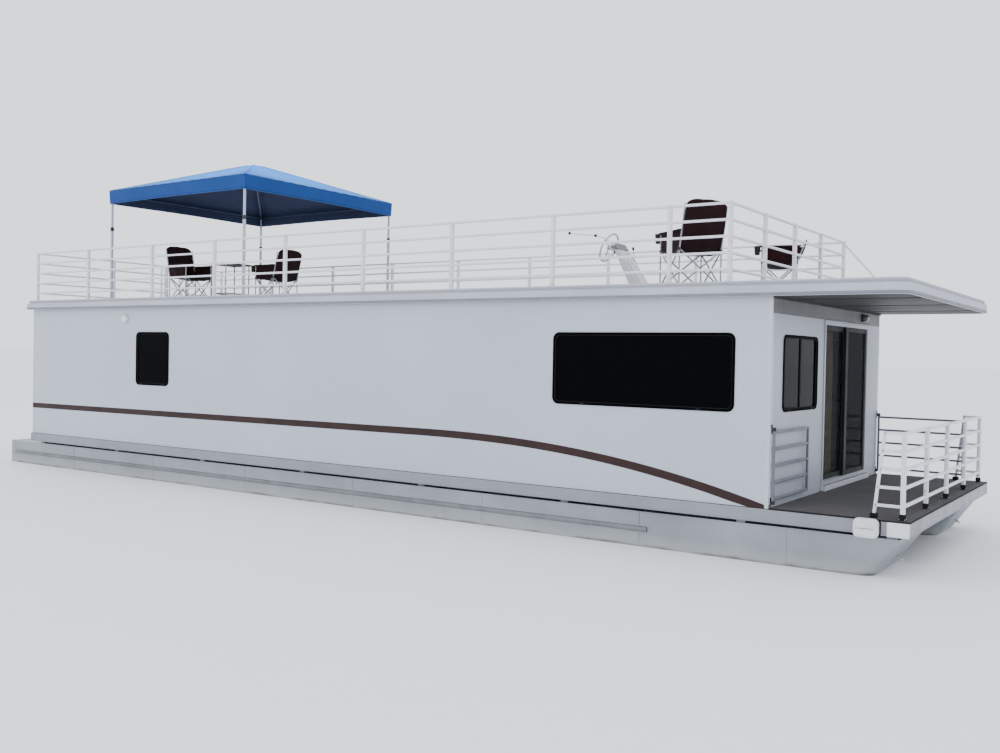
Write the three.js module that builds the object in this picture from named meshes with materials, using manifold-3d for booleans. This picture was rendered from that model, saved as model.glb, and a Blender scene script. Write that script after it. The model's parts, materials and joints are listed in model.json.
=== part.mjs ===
// Twin-hull houseboat with a full-length cabin, a railed roof deck, a sun canopy and an outboard.
// Millimetres. +X towards the bow, +Y to port, +Z up. The origin is the middle of the
// bounding box's bottom: the boat stands on the flat bottoms of its two hulls at Z = 0.
import * as THREE from 'three';
import { mergeVertices } from 'three/addons/utils/BufferGeometryUtils.js';
import Module from 'manifold-3d';

const wasm = await Module();
wasm.setup();

// Driving dimensions
const SEAT_GAP = 0.3; // gap left between pieces that touch
const BOW_X = 8350; // front face of the deck's edge board
const CABIN_FRONT = 6930; // outer face of the cabin's front wall
const CABIN_LENGTH = 13700;
const CABIN_AFT = CABIN_FRONT - CABIN_LENGTH;
const HALF_BEAM = 2135; // outer faces of the cabin's side walls
const DECK_Z = 1000; // walking surface of the bow deck
const WALL = 70;
const ROOF_UNDER = 3213;
const ROOF_TOP = 3375;
const RAIL_Y = 2085; // roof rail centre lines
const BOW_RAIL_Y = 2050;
const BOW_RAIL_X = 8250;

const HULL = { width: 1100, inner: 950, top: 800, aft: -7600, bow: 8250, bilge: 140 };
const DECK = { bottom: 900, top: 985, halfWidth: 2125 };
const EDGE_BOARD = { bottom: 845, outer: 2155, thick: 30 };
const ROOF = { front: 8300, aft: -6850, halfWidth: 2215, bandTop: 3320, lip: 30, cornerRadius: 190 };
const PLATFORM = { aft: -7620, halfWidth: 1400, top: 900, thick: 40 };

// Finishes
function finish(color, roughness, metalness) {
  return { color, roughness, metalness };
}
const FINISH = {
  wall: finish(0xc9cdd6, 0.45, 0),
  hull: finish(0x9aa0a4, 0.4, 0.8),
  frame: finish(0x6d7175, 0.5, 0.7),
  edge: finish(0xc3c5ca, 0.45, 0),
  carpet: finish(0x4a484c, 0.95, 0),
  floor: finish(0x7a644e, 0.5, 0),
  roof: finish(0xbfc5cb, 0.5, 0),
  rail: finish(0xd2d4da, 0.4, 0.2),
  glass: finish(0x0b0c0f, 0.08, 0),
  door: finish(0x55595a, 0.4, 0.5),
  stripe: finish(0x35201f, 0.4, 0),
  hinge: finish(0x1c1c1f, 0.6, 0.2),
  canopy: finish(0x1f6fc4, 0.8, 0),
  sling: finish(0x2a1417, 0.9, 0),
  chairFrame: finish(0x5c5e62, 0.4, 0.6),
  table: finish(0x2a2422, 0.6, 0),
  helm: finish(0xb9bcc2, 0.45, 0),
  wheel: finish(0x1d1d20, 0.5, 0),
  motor: finish(0x1b1d21, 0.35, 0),
  motorMetal: finish(0x2a2d31, 0.4, 0.6),
  propeller: finish(0x8d9093, 0.3, 0.9),
  vinyl: finish(0xdfe2e8, 0.5, 0),
  lamp: finish(0xe6e6e2, 0.4, 0),
};

const boat = new THREE.Group();

function piece(name, geometry, look, parent = boat) {
  const mesh = new THREE.Mesh(geometry, new THREE.MeshStandardMaterial(look));
  mesh.name = name;
  parent.add(mesh);
  return mesh;
}

// Solids: closed meshes that are joined to and cut from each other
function solid(geometry) {
  const bare = geometry.index ? geometry.toNonIndexed() : geometry.clone();
  bare.deleteAttribute('normal');
  bare.deleteAttribute('uv');
  const merged = mergeVertices(bare, 1e-4);
  return new wasm.Manifold(new wasm.Mesh({
    numProp: 3,
    vertProperties: new Float32Array(merged.attributes.position.array),
    triVerts: new Uint32Array(merged.index.array),
  }));
}

function geometryOf(body) {
  const mesh = body.getMesh();
  const geometry = new THREE.BufferGeometry();
  geometry.setAttribute('position', new THREE.BufferAttribute(new Float32Array(mesh.vertProperties), 3));
  geometry.setIndex(new THREE.BufferAttribute(new Uint32Array(mesh.triVerts), 1));
  geometry.computeVertexNormals();
  return geometry;
}

function joined(geometries) {
  return geometries.map(solid).reduce((whole, next) => whole.add(next));
}

function cut(body, geometries) {
  return geometries.map(solid).reduce((left, tool) => left.subtract(tool), body);
}

// Boxes by their lowest and highest corners
function box(x0, x1, y0, y1, z0, z1) {
  const geometry = new THREE.BoxGeometry(x1 - x0, y1 - y0, z1 - z0);
  return geometry.translate((x0 + x1) / 2, (y0 + y1) / 2, (z0 + z1) / 2);
}

// Square bar from one point to another
function bar(from, to, width, depth = width) {
  const a = new THREE.Vector3(...from);
  const b = new THREE.Vector3(...to);
  const run = b.clone().sub(a);
  const geometry = new THREE.BoxGeometry(width, depth, run.length());
  const turn = new THREE.Quaternion().setFromUnitVectors(new THREE.Vector3(0, 0, 1), run.normalize());
  return geometry.applyQuaternion(turn).translate((a.x + b.x) / 2, (a.y + b.y) / 2, (a.z + b.z) / 2);
}

function outline(points) {
  return new THREE.Shape(points.map(([u, v]) => new THREE.Vector2(u, v)));
}

// Rectangle with round corners, for plates, windows and plans
function roundedRect(u0, u1, v0, v1, radius) {
  const shape = new THREE.Shape();
  shape.absarc(u1 - radius, v0 + radius, radius, -Math.PI / 2, 0);
  shape.absarc(u1 - radius, v1 - radius, radius, 0, Math.PI / 2);
  shape.absarc(u0 + radius, v1 - radius, radius, Math.PI / 2, Math.PI);
  shape.absarc(u0 + radius, v0 + radius, radius, Math.PI, 1.5 * Math.PI);
  return shape;
}

function extruded(shape, depth, curveSegments = 4) {
  return new THREE.ExtrudeGeometry(shape, { depth, curveSegments, bevelEnabled: false });
}

// Shape drawn in X and Y, raised along Z
function raised(shape, z0, z1, curveSegments) {
  return extruded(shape, z1 - z0, curveSegments).translate(0, 0, z0);
}

// Shape drawn in X and Z, run along Y
function acrossBeam(shape, y0, y1, curveSegments) {
  return extruded(shape, y1 - y0, curveSegments).rotateX(Math.PI / 2).translate(0, y1, 0);
}

// Shape drawn in Y and Z, run along X
const ALONG_X = new THREE.Matrix4().set(
  0, 0, 1, 0,
  1, 0, 0, 0,
  0, 1, 0, 0,
  0, 0, 0, 1,
);
function alongBoat(shape, x0, x1, curveSegments) {
  return extruded(shape, x1 - x0, curveSegments).applyMatrix4(ALONG_X).translate(x0, 0, 0);
}

const SIDES = [
  { name: 'starboard', sign: -1 },
  { name: 'port', sign: 1 },
];

// Orders two values, so that a box can be mirrored across the centreline
function mirrored(sign, near, far) {
  return sign > 0 ? [near, far] : [-far, -near];
}

// Hulls: flat bottoms, turned bilges, a bow that sweeps up to the deck
function hullProfile() {
  const shape = new THREE.Shape();
  shape.moveTo(HULL.aft, 120);
  shape.lineTo(HULL.aft + 180, 0);
  shape.lineTo(6300, 0);
  shape.quadraticCurveTo(7500, 20, 8000, 430);
  shape.lineTo(HULL.bow, HULL.top);
  shape.lineTo(HULL.aft, HULL.top);
  return shape;
}

function hullSection() {
  const shape = new THREE.Shape();
  const half = HULL.width / 2;
  const corner = HULL.bilge;
  shape.moveTo(half, HULL.top);
  shape.lineTo(-half, HULL.top);
  shape.lineTo(-half, corner);
  shape.absarc(-half + corner, corner, corner, Math.PI, 1.5 * Math.PI);
  shape.absarc(half - corner, corner, corner, 1.5 * Math.PI, 2 * Math.PI);
  return shape;
}

for (const { name, sign } of SIDES) {
  const profile = solid(acrossBeam(hullProfile(), -HULL.width / 2, HULL.width / 2, 8));
  const section = solid(alongBoat(hullSection(), HULL.aft - 10, HULL.bow + 10, 4));
  const hull = piece(`hull_${name}`, geometryOf(profile.intersect(section)), FINISH.hull);
  hull.position.y = sign * (HULL.inner + HULL.width / 2);
}

// Crossbeams and stringers that join the hulls and carry the deck
const CROSSBEAM_X = [-6600, -4400, -2200, 0, 2200, 4400, 6600, 8150];
function underdeckFrame() {
  const z0 = HULL.top + SEAT_GAP;
  const z1 = DECK.bottom - SEAT_GAP;
  const beams = CROSSBEAM_X.map((x) => box(x - 50, x + 50, -2040, 2040, z0, z1));
  const stringers = [-1500, 1500].map((y) => box(-6700, 8180, y - 40, y + 40, z0, z1));
  return geometryOf(joined([...beams, ...stringers]));
}
piece('underdeck_frame', underdeckFrame(), FINISH.frame);

piece('deck', box(
  CABIN_AFT + SEAT_GAP, BOW_X - EDGE_BOARD.thick - SEAT_GAP,
  -DECK.halfWidth + SEAT_GAP, DECK.halfWidth - SEAT_GAP, DECK.bottom, DECK.top,
), FINISH.frame);

// Light edge board round the deck, under the walls and the carpet
function edgeBoard() {
  const outer = box(CABIN_AFT - EDGE_BOARD.thick, BOW_X, -EDGE_BOARD.outer, EDGE_BOARD.outer,
    EDGE_BOARD.bottom, DECK.top);
  const inner = box(CABIN_AFT, BOW_X - EDGE_BOARD.thick, -DECK.halfWidth, DECK.halfWidth,
    EDGE_BOARD.bottom - 10, DECK.top + 10);
  return geometryOf(cut(solid(outer), [inner]));
}
piece('deck_edge_board', edgeBoard(), FINISH.edge);

piece('bow_carpet', raised(
  roundedRect(CABIN_FRONT + SEAT_GAP, BOW_X, -EDGE_BOARD.outer, EDGE_BOARD.outer, 12),
  DECK.top + SEAT_GAP, DECK_Z, 2,
), FINISH.carpet);

// Cabin floor: one board inside the walls, clear of the door frame
const CABIN_FLOOR = { top: 997, fore: CABIN_FRONT - WALL - 11, edge: 5 };
piece('cabin_floor', box(
  CABIN_AFT + WALL + CABIN_FLOOR.edge, CABIN_FLOOR.fore,
  -HALF_BEAM + WALL + CABIN_FLOOR.edge, HALF_BEAM - WALL - CABIN_FLOOR.edge,
  DECK.top + SEAT_GAP, CABIN_FLOOR.top,
), FINISH.floor);

// Cabin walls: one panel a side, each as thick as the wall, with its windows and doors cut
const WALL_BOTTOM = DECK.top + SEAT_GAP;
const WALL_TOP = ROOF_UNDER - SEAT_GAP;
const WINDOW_RADIUS = 80;
const CORNER_STEPS = 3;

// Side windows, by their fore and aft edges measured aft of the front wall
const SIDE_WINDOWS = [
  { name: 'fore', foreEdge: 395, aftEdge: 2665, z0: 1980, z1: 2828 },
  { name: 'aft', foreEdge: 9850, aftEdge: 10690, z0: 1950, z1: 2815 },
];
const FRONT_WINDOW = { name: 'window_front', y0: -1780, y1: -600, z0: 1985, z1: 2822 };
const STERN_WINDOW = { name: 'window_stern', y0: -120, y1: 480, z0: 1985, z1: 2822 };
const PATIO_DOOR = { y0: -355, y1: 1535, z0: 1060, z1: 3022 };
const STERN_DOOR = { y0: -1160, y1: -400, z0: 1040, z1: 3010 };

// A window stands in the XY plane: a black frame 45 wide round a thin pane
const WINDOW = { frame: 45, depth: WALL + 12, pane: 8 };
function windowUnit(width, height) {
  const u = width / 2 - SEAT_GAP;
  const v = height / 2 - SEAT_GAP;
  const ring = roundedRect(-u, u, -v, v, WINDOW_RADIUS);
  const inset = WINDOW.frame;
  ring.holes.push(roundedRect(-u + inset, u - inset, -v + inset, v - inset, WINDOW_RADIUS - 30));
  const pane = roundedRect(-u + 20, u - 20, -v + 20, v - 20, WINDOW_RADIUS - 20);
  const paneZ = WINDOW.depth / 2;
  return geometryOf(joined([
    raised(ring, 0, WINDOW.depth, CORNER_STEPS),
    raised(pane, paneZ, paneZ + WINDOW.pane, CORNER_STEPS),
  ]));
}

for (const { name, sign } of SIDES) {
  const [y0, y1] = mirrored(sign, HALF_BEAM - WALL, HALF_BEAM);
  const openings = SIDE_WINDOWS.map(({ foreEdge, aftEdge, z0, z1 }) => acrossBeam(
    roundedRect(CABIN_FRONT - aftEdge, CABIN_FRONT - foreEdge, z0, z1, WINDOW_RADIUS),
    y0 - 10, y1 + 10, CORNER_STEPS,
  ));
  const panel = box(CABIN_AFT, CABIN_FRONT, y0, y1, WALL_BOTTOM, WALL_TOP);
  piece(`wall_${name}`, geometryOf(cut(solid(panel), openings)), FINISH.wall);
  for (const { name: place, foreEdge, aftEdge, z0, z1 } of SIDE_WINDOWS) {
    const unit = piece(`window_${name}_${place}`, windowUnit(aftEdge - foreEdge, z1 - z0), FINISH.glass);
    unit.rotation.x = Math.PI / 2;
    unit.position.set(CABIN_FRONT - (foreEdge + aftEdge) / 2, 0, (z0 + z1) / 2);
    unit.position.y = sign > 0 ? HALF_BEAM + 12 : -HALF_BEAM + WALL;
  }
}

// End walls lie between the side walls, each with one window and one square doorway
function endWall(x0, pane, doorway) {
  const inner = HALF_BEAM - WALL - SEAT_GAP;
  const panel = box(x0, x0 + WALL, -inner, inner, WALL_BOTTOM, WALL_TOP);
  const [from, to] = [x0 - 10, x0 + WALL + 10];
  return geometryOf(cut(solid(panel), [
    alongBoat(roundedRect(pane.y0, pane.y1, pane.z0, pane.z1, WINDOW_RADIUS), from, to, CORNER_STEPS),
    box(from, to, doorway.y0, doorway.y1, doorway.z0, doorway.z1),
  ]));
}

function endWindow({ name, y0, y1, z0, z1 }, x0) {
  const unit = piece(name, windowUnit(y1 - y0, z1 - z0).applyMatrix4(ALONG_X), FINISH.glass);
  unit.position.set(x0, (y0 + y1) / 2, (z0 + z1) / 2);
}

piece('wall_front', endWall(CABIN_FRONT - WALL, FRONT_WINDOW, PATIO_DOOR), FINISH.wall);
piece('wall_stern', endWall(CABIN_AFT, STERN_WINDOW, STERN_DOOR), FINISH.wall);
endWindow(FRONT_WINDOW, CABIN_FRONT - WALL);
endWindow(STERN_WINDOW, CABIN_AFT - 12);

// Sliding patio door: frame with a step in front, a fixed panel to port, a sliding one to starboard
const DOOR_FRAME = { bar: 45, back: CABIN_FRONT - WALL - 6, front: CABIN_FRONT + 12, stepFront: CABIN_FRONT + 60 };
const RUNNING = 6; // clearance round the moving panel
function doorFrame() {
  const { y0, y1, z0, z1 } = PATIO_DOOR;
  const { bar: width, back, front, stepFront } = DOOR_FRAME;
  const g = SEAT_GAP;
  const body = solid(box(back, front, y0 + g, y1 - g, z0 + g, z1 - g));
  const hole = box(back - 10, front + 10, y0 + width, y1 - width, z0 + width, z1 - width);
  const step = box(CABIN_FRONT + g, stepFront, y0 - 20, y1 + 20, DECK_Z + g, z0 + 2);
  const lip = box(CABIN_FRONT + g, front, y0 - 20, y1 + 20, z0 - 20, z0 + 20);
  return geometryOf(cut(body, [hole]).add(solid(step)).add(solid(lip)));
}
piece('patio_door_frame', doorFrame(), FINISH.door);

// A glazed door panel in the YZ plane: stiles and rails round a thin pane
function glazedPanel(y0, y1, z0, z1, x0, x1, stile) {
  const ring = cut(solid(box(x0, x1, y0, y1, z0, z1)), [
    box(x0 - 10, x1 + 10, y0 + stile, y1 - stile, z0 + stile, z1 - stile),
  ]);
  const middle = (x0 + x1) / 2;
  const pane = box(middle - 3, middle + 3, y0 + stile - 8, y1 - stile + 8, z0 + stile - 8, z1 - stile + 8);
  return geometryOf(ring.add(solid(pane)));
}
const INNER_DOOR = {
  y0: PATIO_DOOR.y0 + DOOR_FRAME.bar,
  y1: PATIO_DOOR.y1 - DOOR_FRAME.bar,
  z0: PATIO_DOOR.z0 + DOOR_FRAME.bar,
  z1: PATIO_DOOR.z1 - DOOR_FRAME.bar,
};
const DOOR_MIDDLE = (INNER_DOOR.y0 + INNER_DOOR.y1) / 2;
const DOOR_OVERLAP = 28;
const DOOR_STILE = 55;
piece('patio_door_fixed', glazedPanel(
  DOOR_MIDDLE - DOOR_OVERLAP, INNER_DOOR.y1 - SEAT_GAP, INNER_DOOR.z0 + SEAT_GAP, INNER_DOOR.z1 - SEAT_GAP,
  CABIN_FRONT - 30, CABIN_FRONT - 4, DOOR_STILE,
), FINISH.glass);
function slidingPanel() {
  const [y0, y1] = [INNER_DOOR.y0 + RUNNING, DOOR_MIDDLE + DOOR_OVERLAP];
  const [x0, x1] = [CABIN_FRONT - 64, CABIN_FRONT - 38];
  const foot = INNER_DOOR.z0 + RUNNING;
  const panel = glazedPanel(y0, y1, foot, INNER_DOOR.z1 - RUNNING, x0, x1, DOOR_STILE);
  const runners = [y0 + 60, y1 - 140].map((y) => box(
    x0 + 5, x1 - 5, y, y + 80, INNER_DOOR.z0 + SEAT_GAP, foot + 10,
  ));
  return geometryOf(joined([panel, ...runners]));
}
piece('patio_door_sliding', slidingPanel(), FINISH.glass);

// Stern door: one leaf with a small pane, hinged at its outboard edge, opening aft
const STERN_LEAF = { x0: CABIN_AFT - 42, x1: CABIN_AFT - 10, y0: -1190, y1: -375, z0: 1020, z1: 3030 };
const STERN_HINGE = { x: CABIN_AFT - 32, y: STERN_LEAF.y0 + 10 };
function sternDoor() {
  const { x0, x1, y0, y1, z0, z1 } = STERN_LEAF;
  const pocket = box(x0 - 20, x0 + 14, y0 + 180, y1 - 180, 2080, 2820);
  const knob = box(x0 - 34, x0 + 4, y1 - 75, y1 - 50, 1960, 2080);
  return geometryOf(cut(solid(box(x0, x1, y0, y1, z0, z1)), [pocket]).add(solid(knob)));
}
piece('stern_door', sternDoor(), FINISH.wall);

// Hinge strap on the stern wall, with a lug over and under the leaf's pivot edge
function sternHinge() {
  const { y, x } = STERN_HINGE;
  const { z0, z1 } = STERN_LEAF;
  const back = CABIN_AFT - SEAT_GAP;
  return geometryOf(joined([
    box(back - 8, back, y - 60, y - 20, z0 - 30, z1 + 30),
    box(x - 12, back, y - 60, y + 12, z0 - 30, z0 - SEAT_GAP),
    box(x - 12, back, y - 60, y + 12, z1 + SEAT_GAP, z1 + 30),
  ]));
}
piece('stern_door_hinge', sternHinge(), FINISH.hinge);

// Coloured stripe along each side: nearly level, then sweeping down to the wall's lower fore corner,
// where its lower edge runs out along the wall's foot
const STRIPE = {
  width: 92, thick: 3, foot: DECK.top + 3, aftZ: 1488, crestZ: 1526, crestS: 4700, lowZ: 1011, lowS: 150, tipS: 42,
  power: 2.4,
};
function stripeHeight(s) {
  if (s > STRIPE.crestS) {
    const along = (s - STRIPE.crestS) / (CABIN_LENGTH - STRIPE.crestS);
    return STRIPE.crestZ + (STRIPE.aftZ - STRIPE.crestZ) * along;
  }
  const drop = Math.pow((STRIPE.crestS - s) / (STRIPE.crestS - STRIPE.lowS), STRIPE.power);
  return STRIPE.crestZ - (STRIPE.crestZ - STRIPE.lowZ) * drop;
}
function stripeShape() {
  const steps = 28;
  const upper = [];
  const lower = [];
  for (let i = 0; i <= steps; i += 1) {
    const s = STRIPE.tipS + (STRIPE.crestS - STRIPE.tipS) * (i / steps);
    const slope = (stripeHeight(s + 5) - stripeHeight(s - 5)) / 10;
    const half = (STRIPE.width / 2) * Math.sqrt(1 + slope * slope);
    upper.push([CABIN_FRONT - s, stripeHeight(s) + half]);
    lower.push([CABIN_FRONT - s, Math.max(stripeHeight(s) - half, STRIPE.foot)]);
  }
  upper.push([CABIN_AFT + 2, STRIPE.aftZ + STRIPE.width * 0.48]);
  lower.push([CABIN_AFT + 2, STRIPE.aftZ - STRIPE.width * 0.48]);
  return outline([...upper, ...lower.reverse()]);
}
for (const { name, sign } of SIDES) {
  const [y0, y1] = mirrored(sign, HALF_BEAM + SEAT_GAP, HALF_BEAM + STRIPE.thick);
  piece(`stripe_${name}`, acrossBeam(stripeShape(), y0, y1), FINISH.stripe);
}

// Roof: one slab with a light band round its edge and a narrower lip above
function roofSlab() {
  const { front, aft, halfWidth, bandTop, lip, cornerRadius } = ROOF;
  const plan = (inset, radius) => {
    const shape = new THREE.Shape();
    const x1 = front - inset;
    const x0 = aft + inset;
    const y = halfWidth - inset;
    shape.absarc(x1 - radius, -y + radius, radius, -Math.PI / 2, 0);
    shape.absarc(x1 - radius, y - radius, radius, 0, Math.PI / 2);
    shape.lineTo(x0, y);
    shape.lineTo(x0, -y);
    return shape;
  };
  return geometryOf(joined([
    raised(plan(0, cornerRadius), ROOF_UNDER, bandTop, 6),
    raised(plan(lip, cornerRadius - lip), bandTop - 20, ROOF_TOP, 6),
  ]));
}
piece('roof', roofSlab(), FINISH.roof);

// Roof rails: five bars on posts
const RAIL = { post: 46, bar: 28, foot: ROOF_TOP + SEAT_GAP, top: 4235, barGap: 178, bars: 5, brace: 720, cap: 4 };
const BAR_HEIGHTS = Array.from({ length: RAIL.bars }, (_, i) => RAIL.top - RAIL.bar / 2 - i * RAIL.barGap);
// Posts of the side rails, measured aft of the front wall
const POSTS_S = [500, 1210, 2730, 4250, 5770, 7290, 8840, 10370, 12120, 13660];
const RAIL_FRONT_X = CABIN_FRONT - POSTS_S[0];
const RAIL_AFT_X = CABIN_FRONT - POSTS_S[POSTS_S.length - 1];
const LADDER_GAP = { y0: 660, y1: 1200 }; // gap in the stern rail for the ladder

function railPost(x, y) {
  const half = RAIL.post / 2;
  return box(x - half, x + half, y - half, y + half, RAIL.foot, RAIL.top + RAIL.cap);
}

function sideRail(sign) {
  const y = sign * RAIL_Y;
  const parts = POSTS_S.map((s) => railPost(CABIN_FRONT - s, y));
  for (const z of BAR_HEIGHTS) {
    parts.push(bar([RAIL_AFT_X, y, z], [RAIL_FRONT_X, y, z], RAIL.bar));
  }
  if (sign > 0) {
    parts.push(railPost(RAIL_AFT_X, LADDER_GAP.y1));
    for (const z of BAR_HEIGHTS) {
      parts.push(bar([RAIL_AFT_X, LADDER_GAP.y1, z], [RAIL_AFT_X, y, z], RAIL.bar));
    }
    const foot = [RAIL_FRONT_X + RAIL.brace, y, RAIL.foot + 20];
    parts.push(bar([RAIL_FRONT_X, y, RAIL.top - RAIL.bar], foot, RAIL.bar - 4));
  }
  return geometryOf(joined(parts));
}

// Rail across the roof from one side rail's post to the other's, or to the ladder gap
function crossRail(x, y0, y1, postYs) {
  const parts = postYs.map((y) => railPost(x, y));
  for (const z of BAR_HEIGHTS) {
    parts.push(bar([x, y0, z], [x, y1, z], RAIL.bar));
  }
  return geometryOf(joined(parts));
}
const CORNER = RAIL_Y - RAIL.post / 2 - SEAT_GAP;
for (const { name, sign } of SIDES) {
  piece(`roof_rail_${name}`, sideRail(sign), FINISH.rail);
}
piece('roof_rail_bow', crossRail(RAIL_FRONT_X, -CORNER, CORNER, [-1040, 0, 1040]), FINISH.rail);
piece('roof_rail_stern', crossRail(RAIL_AFT_X, -CORNER, LADDER_GAP.y0, [-530, LADDER_GAP.y0]), FINISH.rail);

// Bow deck rail: a front run with a short return at each end that stops at a raked stile
const BOW_RAIL = { post: 44, bar: 30, top: 1865, gap: 180, bars: 5, stileFoot: 7975, stileTop: 8065 };
function bowRail() {
  const foot = DECK_Z + SEAT_GAP;
  const half = BOW_RAIL.post / 2;
  const heights = Array.from({ length: BOW_RAIL.bars }, (_, i) => BOW_RAIL.top - 15 - i * BOW_RAIL.gap);
  const parts = [-BOW_RAIL_Y, -1040, 0, 1040, BOW_RAIL_Y].map((y) => box(
    BOW_RAIL_X - half, BOW_RAIL_X + half, y - half, y + half, foot, BOW_RAIL.top,
  ));
  for (const z of heights) {
    parts.push(bar([BOW_RAIL_X, -BOW_RAIL_Y, z], [BOW_RAIL_X, BOW_RAIL_Y, z], BOW_RAIL.bar));
    const reach = (z - DECK_Z) / (BOW_RAIL.top - DECK_Z);
    const stileX = BOW_RAIL.stileFoot + (BOW_RAIL.stileTop - BOW_RAIL.stileFoot) * reach;
    for (const { sign } of SIDES) {
      parts.push(bar([stileX, sign * BOW_RAIL_Y, z], [BOW_RAIL_X, sign * BOW_RAIL_Y, z], BOW_RAIL.bar));
    }
  }
  for (const { sign } of SIDES) {
    const stile = outline([
      [BOW_RAIL.stileFoot - 16, foot], [BOW_RAIL.stileFoot + 16, foot],
      [BOW_RAIL.stileTop + 16, BOW_RAIL.top], [BOW_RAIL.stileTop - 16, BOW_RAIL.top],
    ]);
    parts.push(acrossBeam(stile, sign * BOW_RAIL_Y - 15, sign * BOW_RAIL_Y + 15));
  }
  return geometryOf(joined(parts));
}
piece('bow_rail', bowRail(), FINISH.rail);

// Boarding gates at the cabin's front corners. The starboard one stands open, folded flat
// against the front wall. The port one stands shut, its end just inside the bow rail's stile.
const GATE = { pivotX: CABIN_FRONT + 35, pivotY: 2095, width: 1130, z0: 1072, z1: 1800, tube: 26, bars: 5 };
function gateLeaf() {
  const half = GATE.tube / 2;
  const parts = [0, GATE.width - GATE.tube].map((x) => box(x - half, x + half, -half, half, GATE.z0, GATE.z1));
  const step = (GATE.z1 - GATE.z0 - GATE.tube) / (GATE.bars - 1);
  for (let i = 0; i < GATE.bars; i += 1) {
    const z = GATE.z0 + half + i * step;
    parts.push(box(0, GATE.width - GATE.tube, -half + 1, half - 1, z - half, z + half));
  }
  return geometryOf(joined(parts));
}
const GATE_TURN = { starboard: Math.PI / 2, port: THREE.MathUtils.degToRad(-5) };
for (const { name, sign } of SIDES) {
  const y = sign * GATE.pivotY;
  const gate = piece(`gate_${name}`, gateLeaf(), FINISH.rail);
  gate.position.set(GATE.pivotX, y, 0);
  gate.rotation.z = GATE_TURN[name];
  const back = CABIN_FRONT + SEAT_GAP;
  piece(`gate_hinge_${name}`, geometryOf(joined([
    box(back, back + 8, y - 20, y + 20, GATE.z0 - 40, GATE.z1 + 40),
    box(back, GATE.pivotX + 20, y - 18, y + 18, GATE.z0 - 40, GATE.z0 - SEAT_GAP),
    box(back, GATE.pivotX + 20, y - 18, y + 18, GATE.z1 + SEAT_GAP, GATE.z1 + 40),
  ])), FINISH.hinge);
}

// Vinyl corner fenders low on the bow deck's sides
for (const { name, sign } of SIDES) {
  const shape = roundedRect(7820, 8065, 815, 1010, 55);
  const [y0, y1] = mirrored(sign, EDGE_BOARD.outer + SEAT_GAP, EDGE_BOARD.outer + 95);
  piece(`bow_fender_${name}`, acrossBeam(shape, y0, y1, 4), FINISH.vinyl);
}

// Lamps: round ones on the side walls, a small box over the patio door
const SIDE_LAMP = { s: 10980, z: 3030, radius: 78, thick: 72 };
for (const { name, sign } of SIDES) {
  const lamp = piece(`side_lamp_${name}`, new THREE.CylinderGeometry(
    SIDE_LAMP.radius * 0.8, SIDE_LAMP.radius, SIDE_LAMP.thick, 20,
  ), FINISH.lamp);
  lamp.rotation.x = sign > 0 ? 0 : Math.PI;
  lamp.position.set(CABIN_FRONT - SIDE_LAMP.s, sign * (HALF_BEAM + SEAT_GAP + SIDE_LAMP.thick / 2), SIDE_LAMP.z);
}
piece('porch_lamp', alongBoat(
  roundedRect(1190, 1320, 3070, 3170, 25), CABIN_FRONT + SEAT_GAP, CABIN_FRONT + 85, 3,
), FINISH.lamp);

// Stern platform on the hulls' tops, with the transom board that the outboard hangs on
const TRANSOM = { x0: -7670, x1: -7600, halfWidth: 300, z0: 520, z1: 912 };
piece('stern_platform', geometryOf(joined([
  box(PLATFORM.aft, CABIN_AFT - EDGE_BOARD.thick - SEAT_GAP, -PLATFORM.halfWidth, PLATFORM.halfWidth,
    PLATFORM.top - PLATFORM.thick, PLATFORM.top),
  ...[-1175, 1175].map((y) => box(HULL.aft + 40, -6900, y - 60, y + 60, HULL.top + SEAT_GAP, 880)),
  box(TRANSOM.x0, TRANSOM.x1, -TRANSOM.halfWidth, TRANSOM.halfWidth, TRANSOM.z0, TRANSOM.z1),
])), FINISH.frame);

// Ladder from the platform to the roof deck, stood off the stern wall
const LADDER = { x: -6925, y0: 705, y1: 1155, tube: 34, rungs: 9, first: 1150, step: 275, top: 4235 };
function sternLadder() {
  const { x, y0, y1, tube, rungs, first, step, top } = LADDER;
  const half = tube / 2;
  const parts = [y0, y1].map((y) => box(x - half, x + half, y - half, y + half, PLATFORM.top + SEAT_GAP, top));
  for (let i = 0; i < rungs; i += 1) {
    parts.push(bar([x, y0, first + i * step], [x, y1, first + i * step], 30, 26));
  }
  for (const y of [y0, y1]) {
    for (const z of [1700, 2950]) {
      parts.push(box(x, CABIN_AFT - SEAT_GAP, y - 14, y + 14, z - 14, z + 14));
    }
    parts.push(box(x, RAIL_AFT_X + 16, y - 14, y + 14, top - 34, top - 6));
    parts.push(box(RAIL_AFT_X - 16, RAIL_AFT_X + 16, y - 14, y + 14, RAIL.foot, top - 6));
  }
  return geometryOf(joined(parts));
}
piece('stern_ladder', sternLadder(), FINISH.rail);

// Outboard: bracket on the transom, swivel that tilts on it, motor that steers in the swivel
const TILT = { x: -7745, z: 905 };
const STEER_X = -7830;
const GEARCASE_AFT = -8107;
const PROP = { x: GEARCASE_AFT - 43 - SEAT_GAP, z: 230, hub: 44, hubLength: 86 };

function rod(radius, length, segments = 16) {
  return new THREE.CylinderGeometry(radius, radius, length, segments);
}

function transomBracket() {
  const plate = box(-7700, TRANSOM.x0 - SEAT_GAP, -125, 125, 620, 920);
  const hook = box(-7700, -7580, -125, 125, TRANSOM.z1 + SEAT_GAP, 934);
  const ears = [-107, 107].map((y) => box(-7785, -7690, y - 17, y + 17, 850, 950));
  return geometryOf(joined([plate, hook, ...ears]));
}
piece('transom_bracket', transomBracket(), FINISH.motorMetal);

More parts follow.
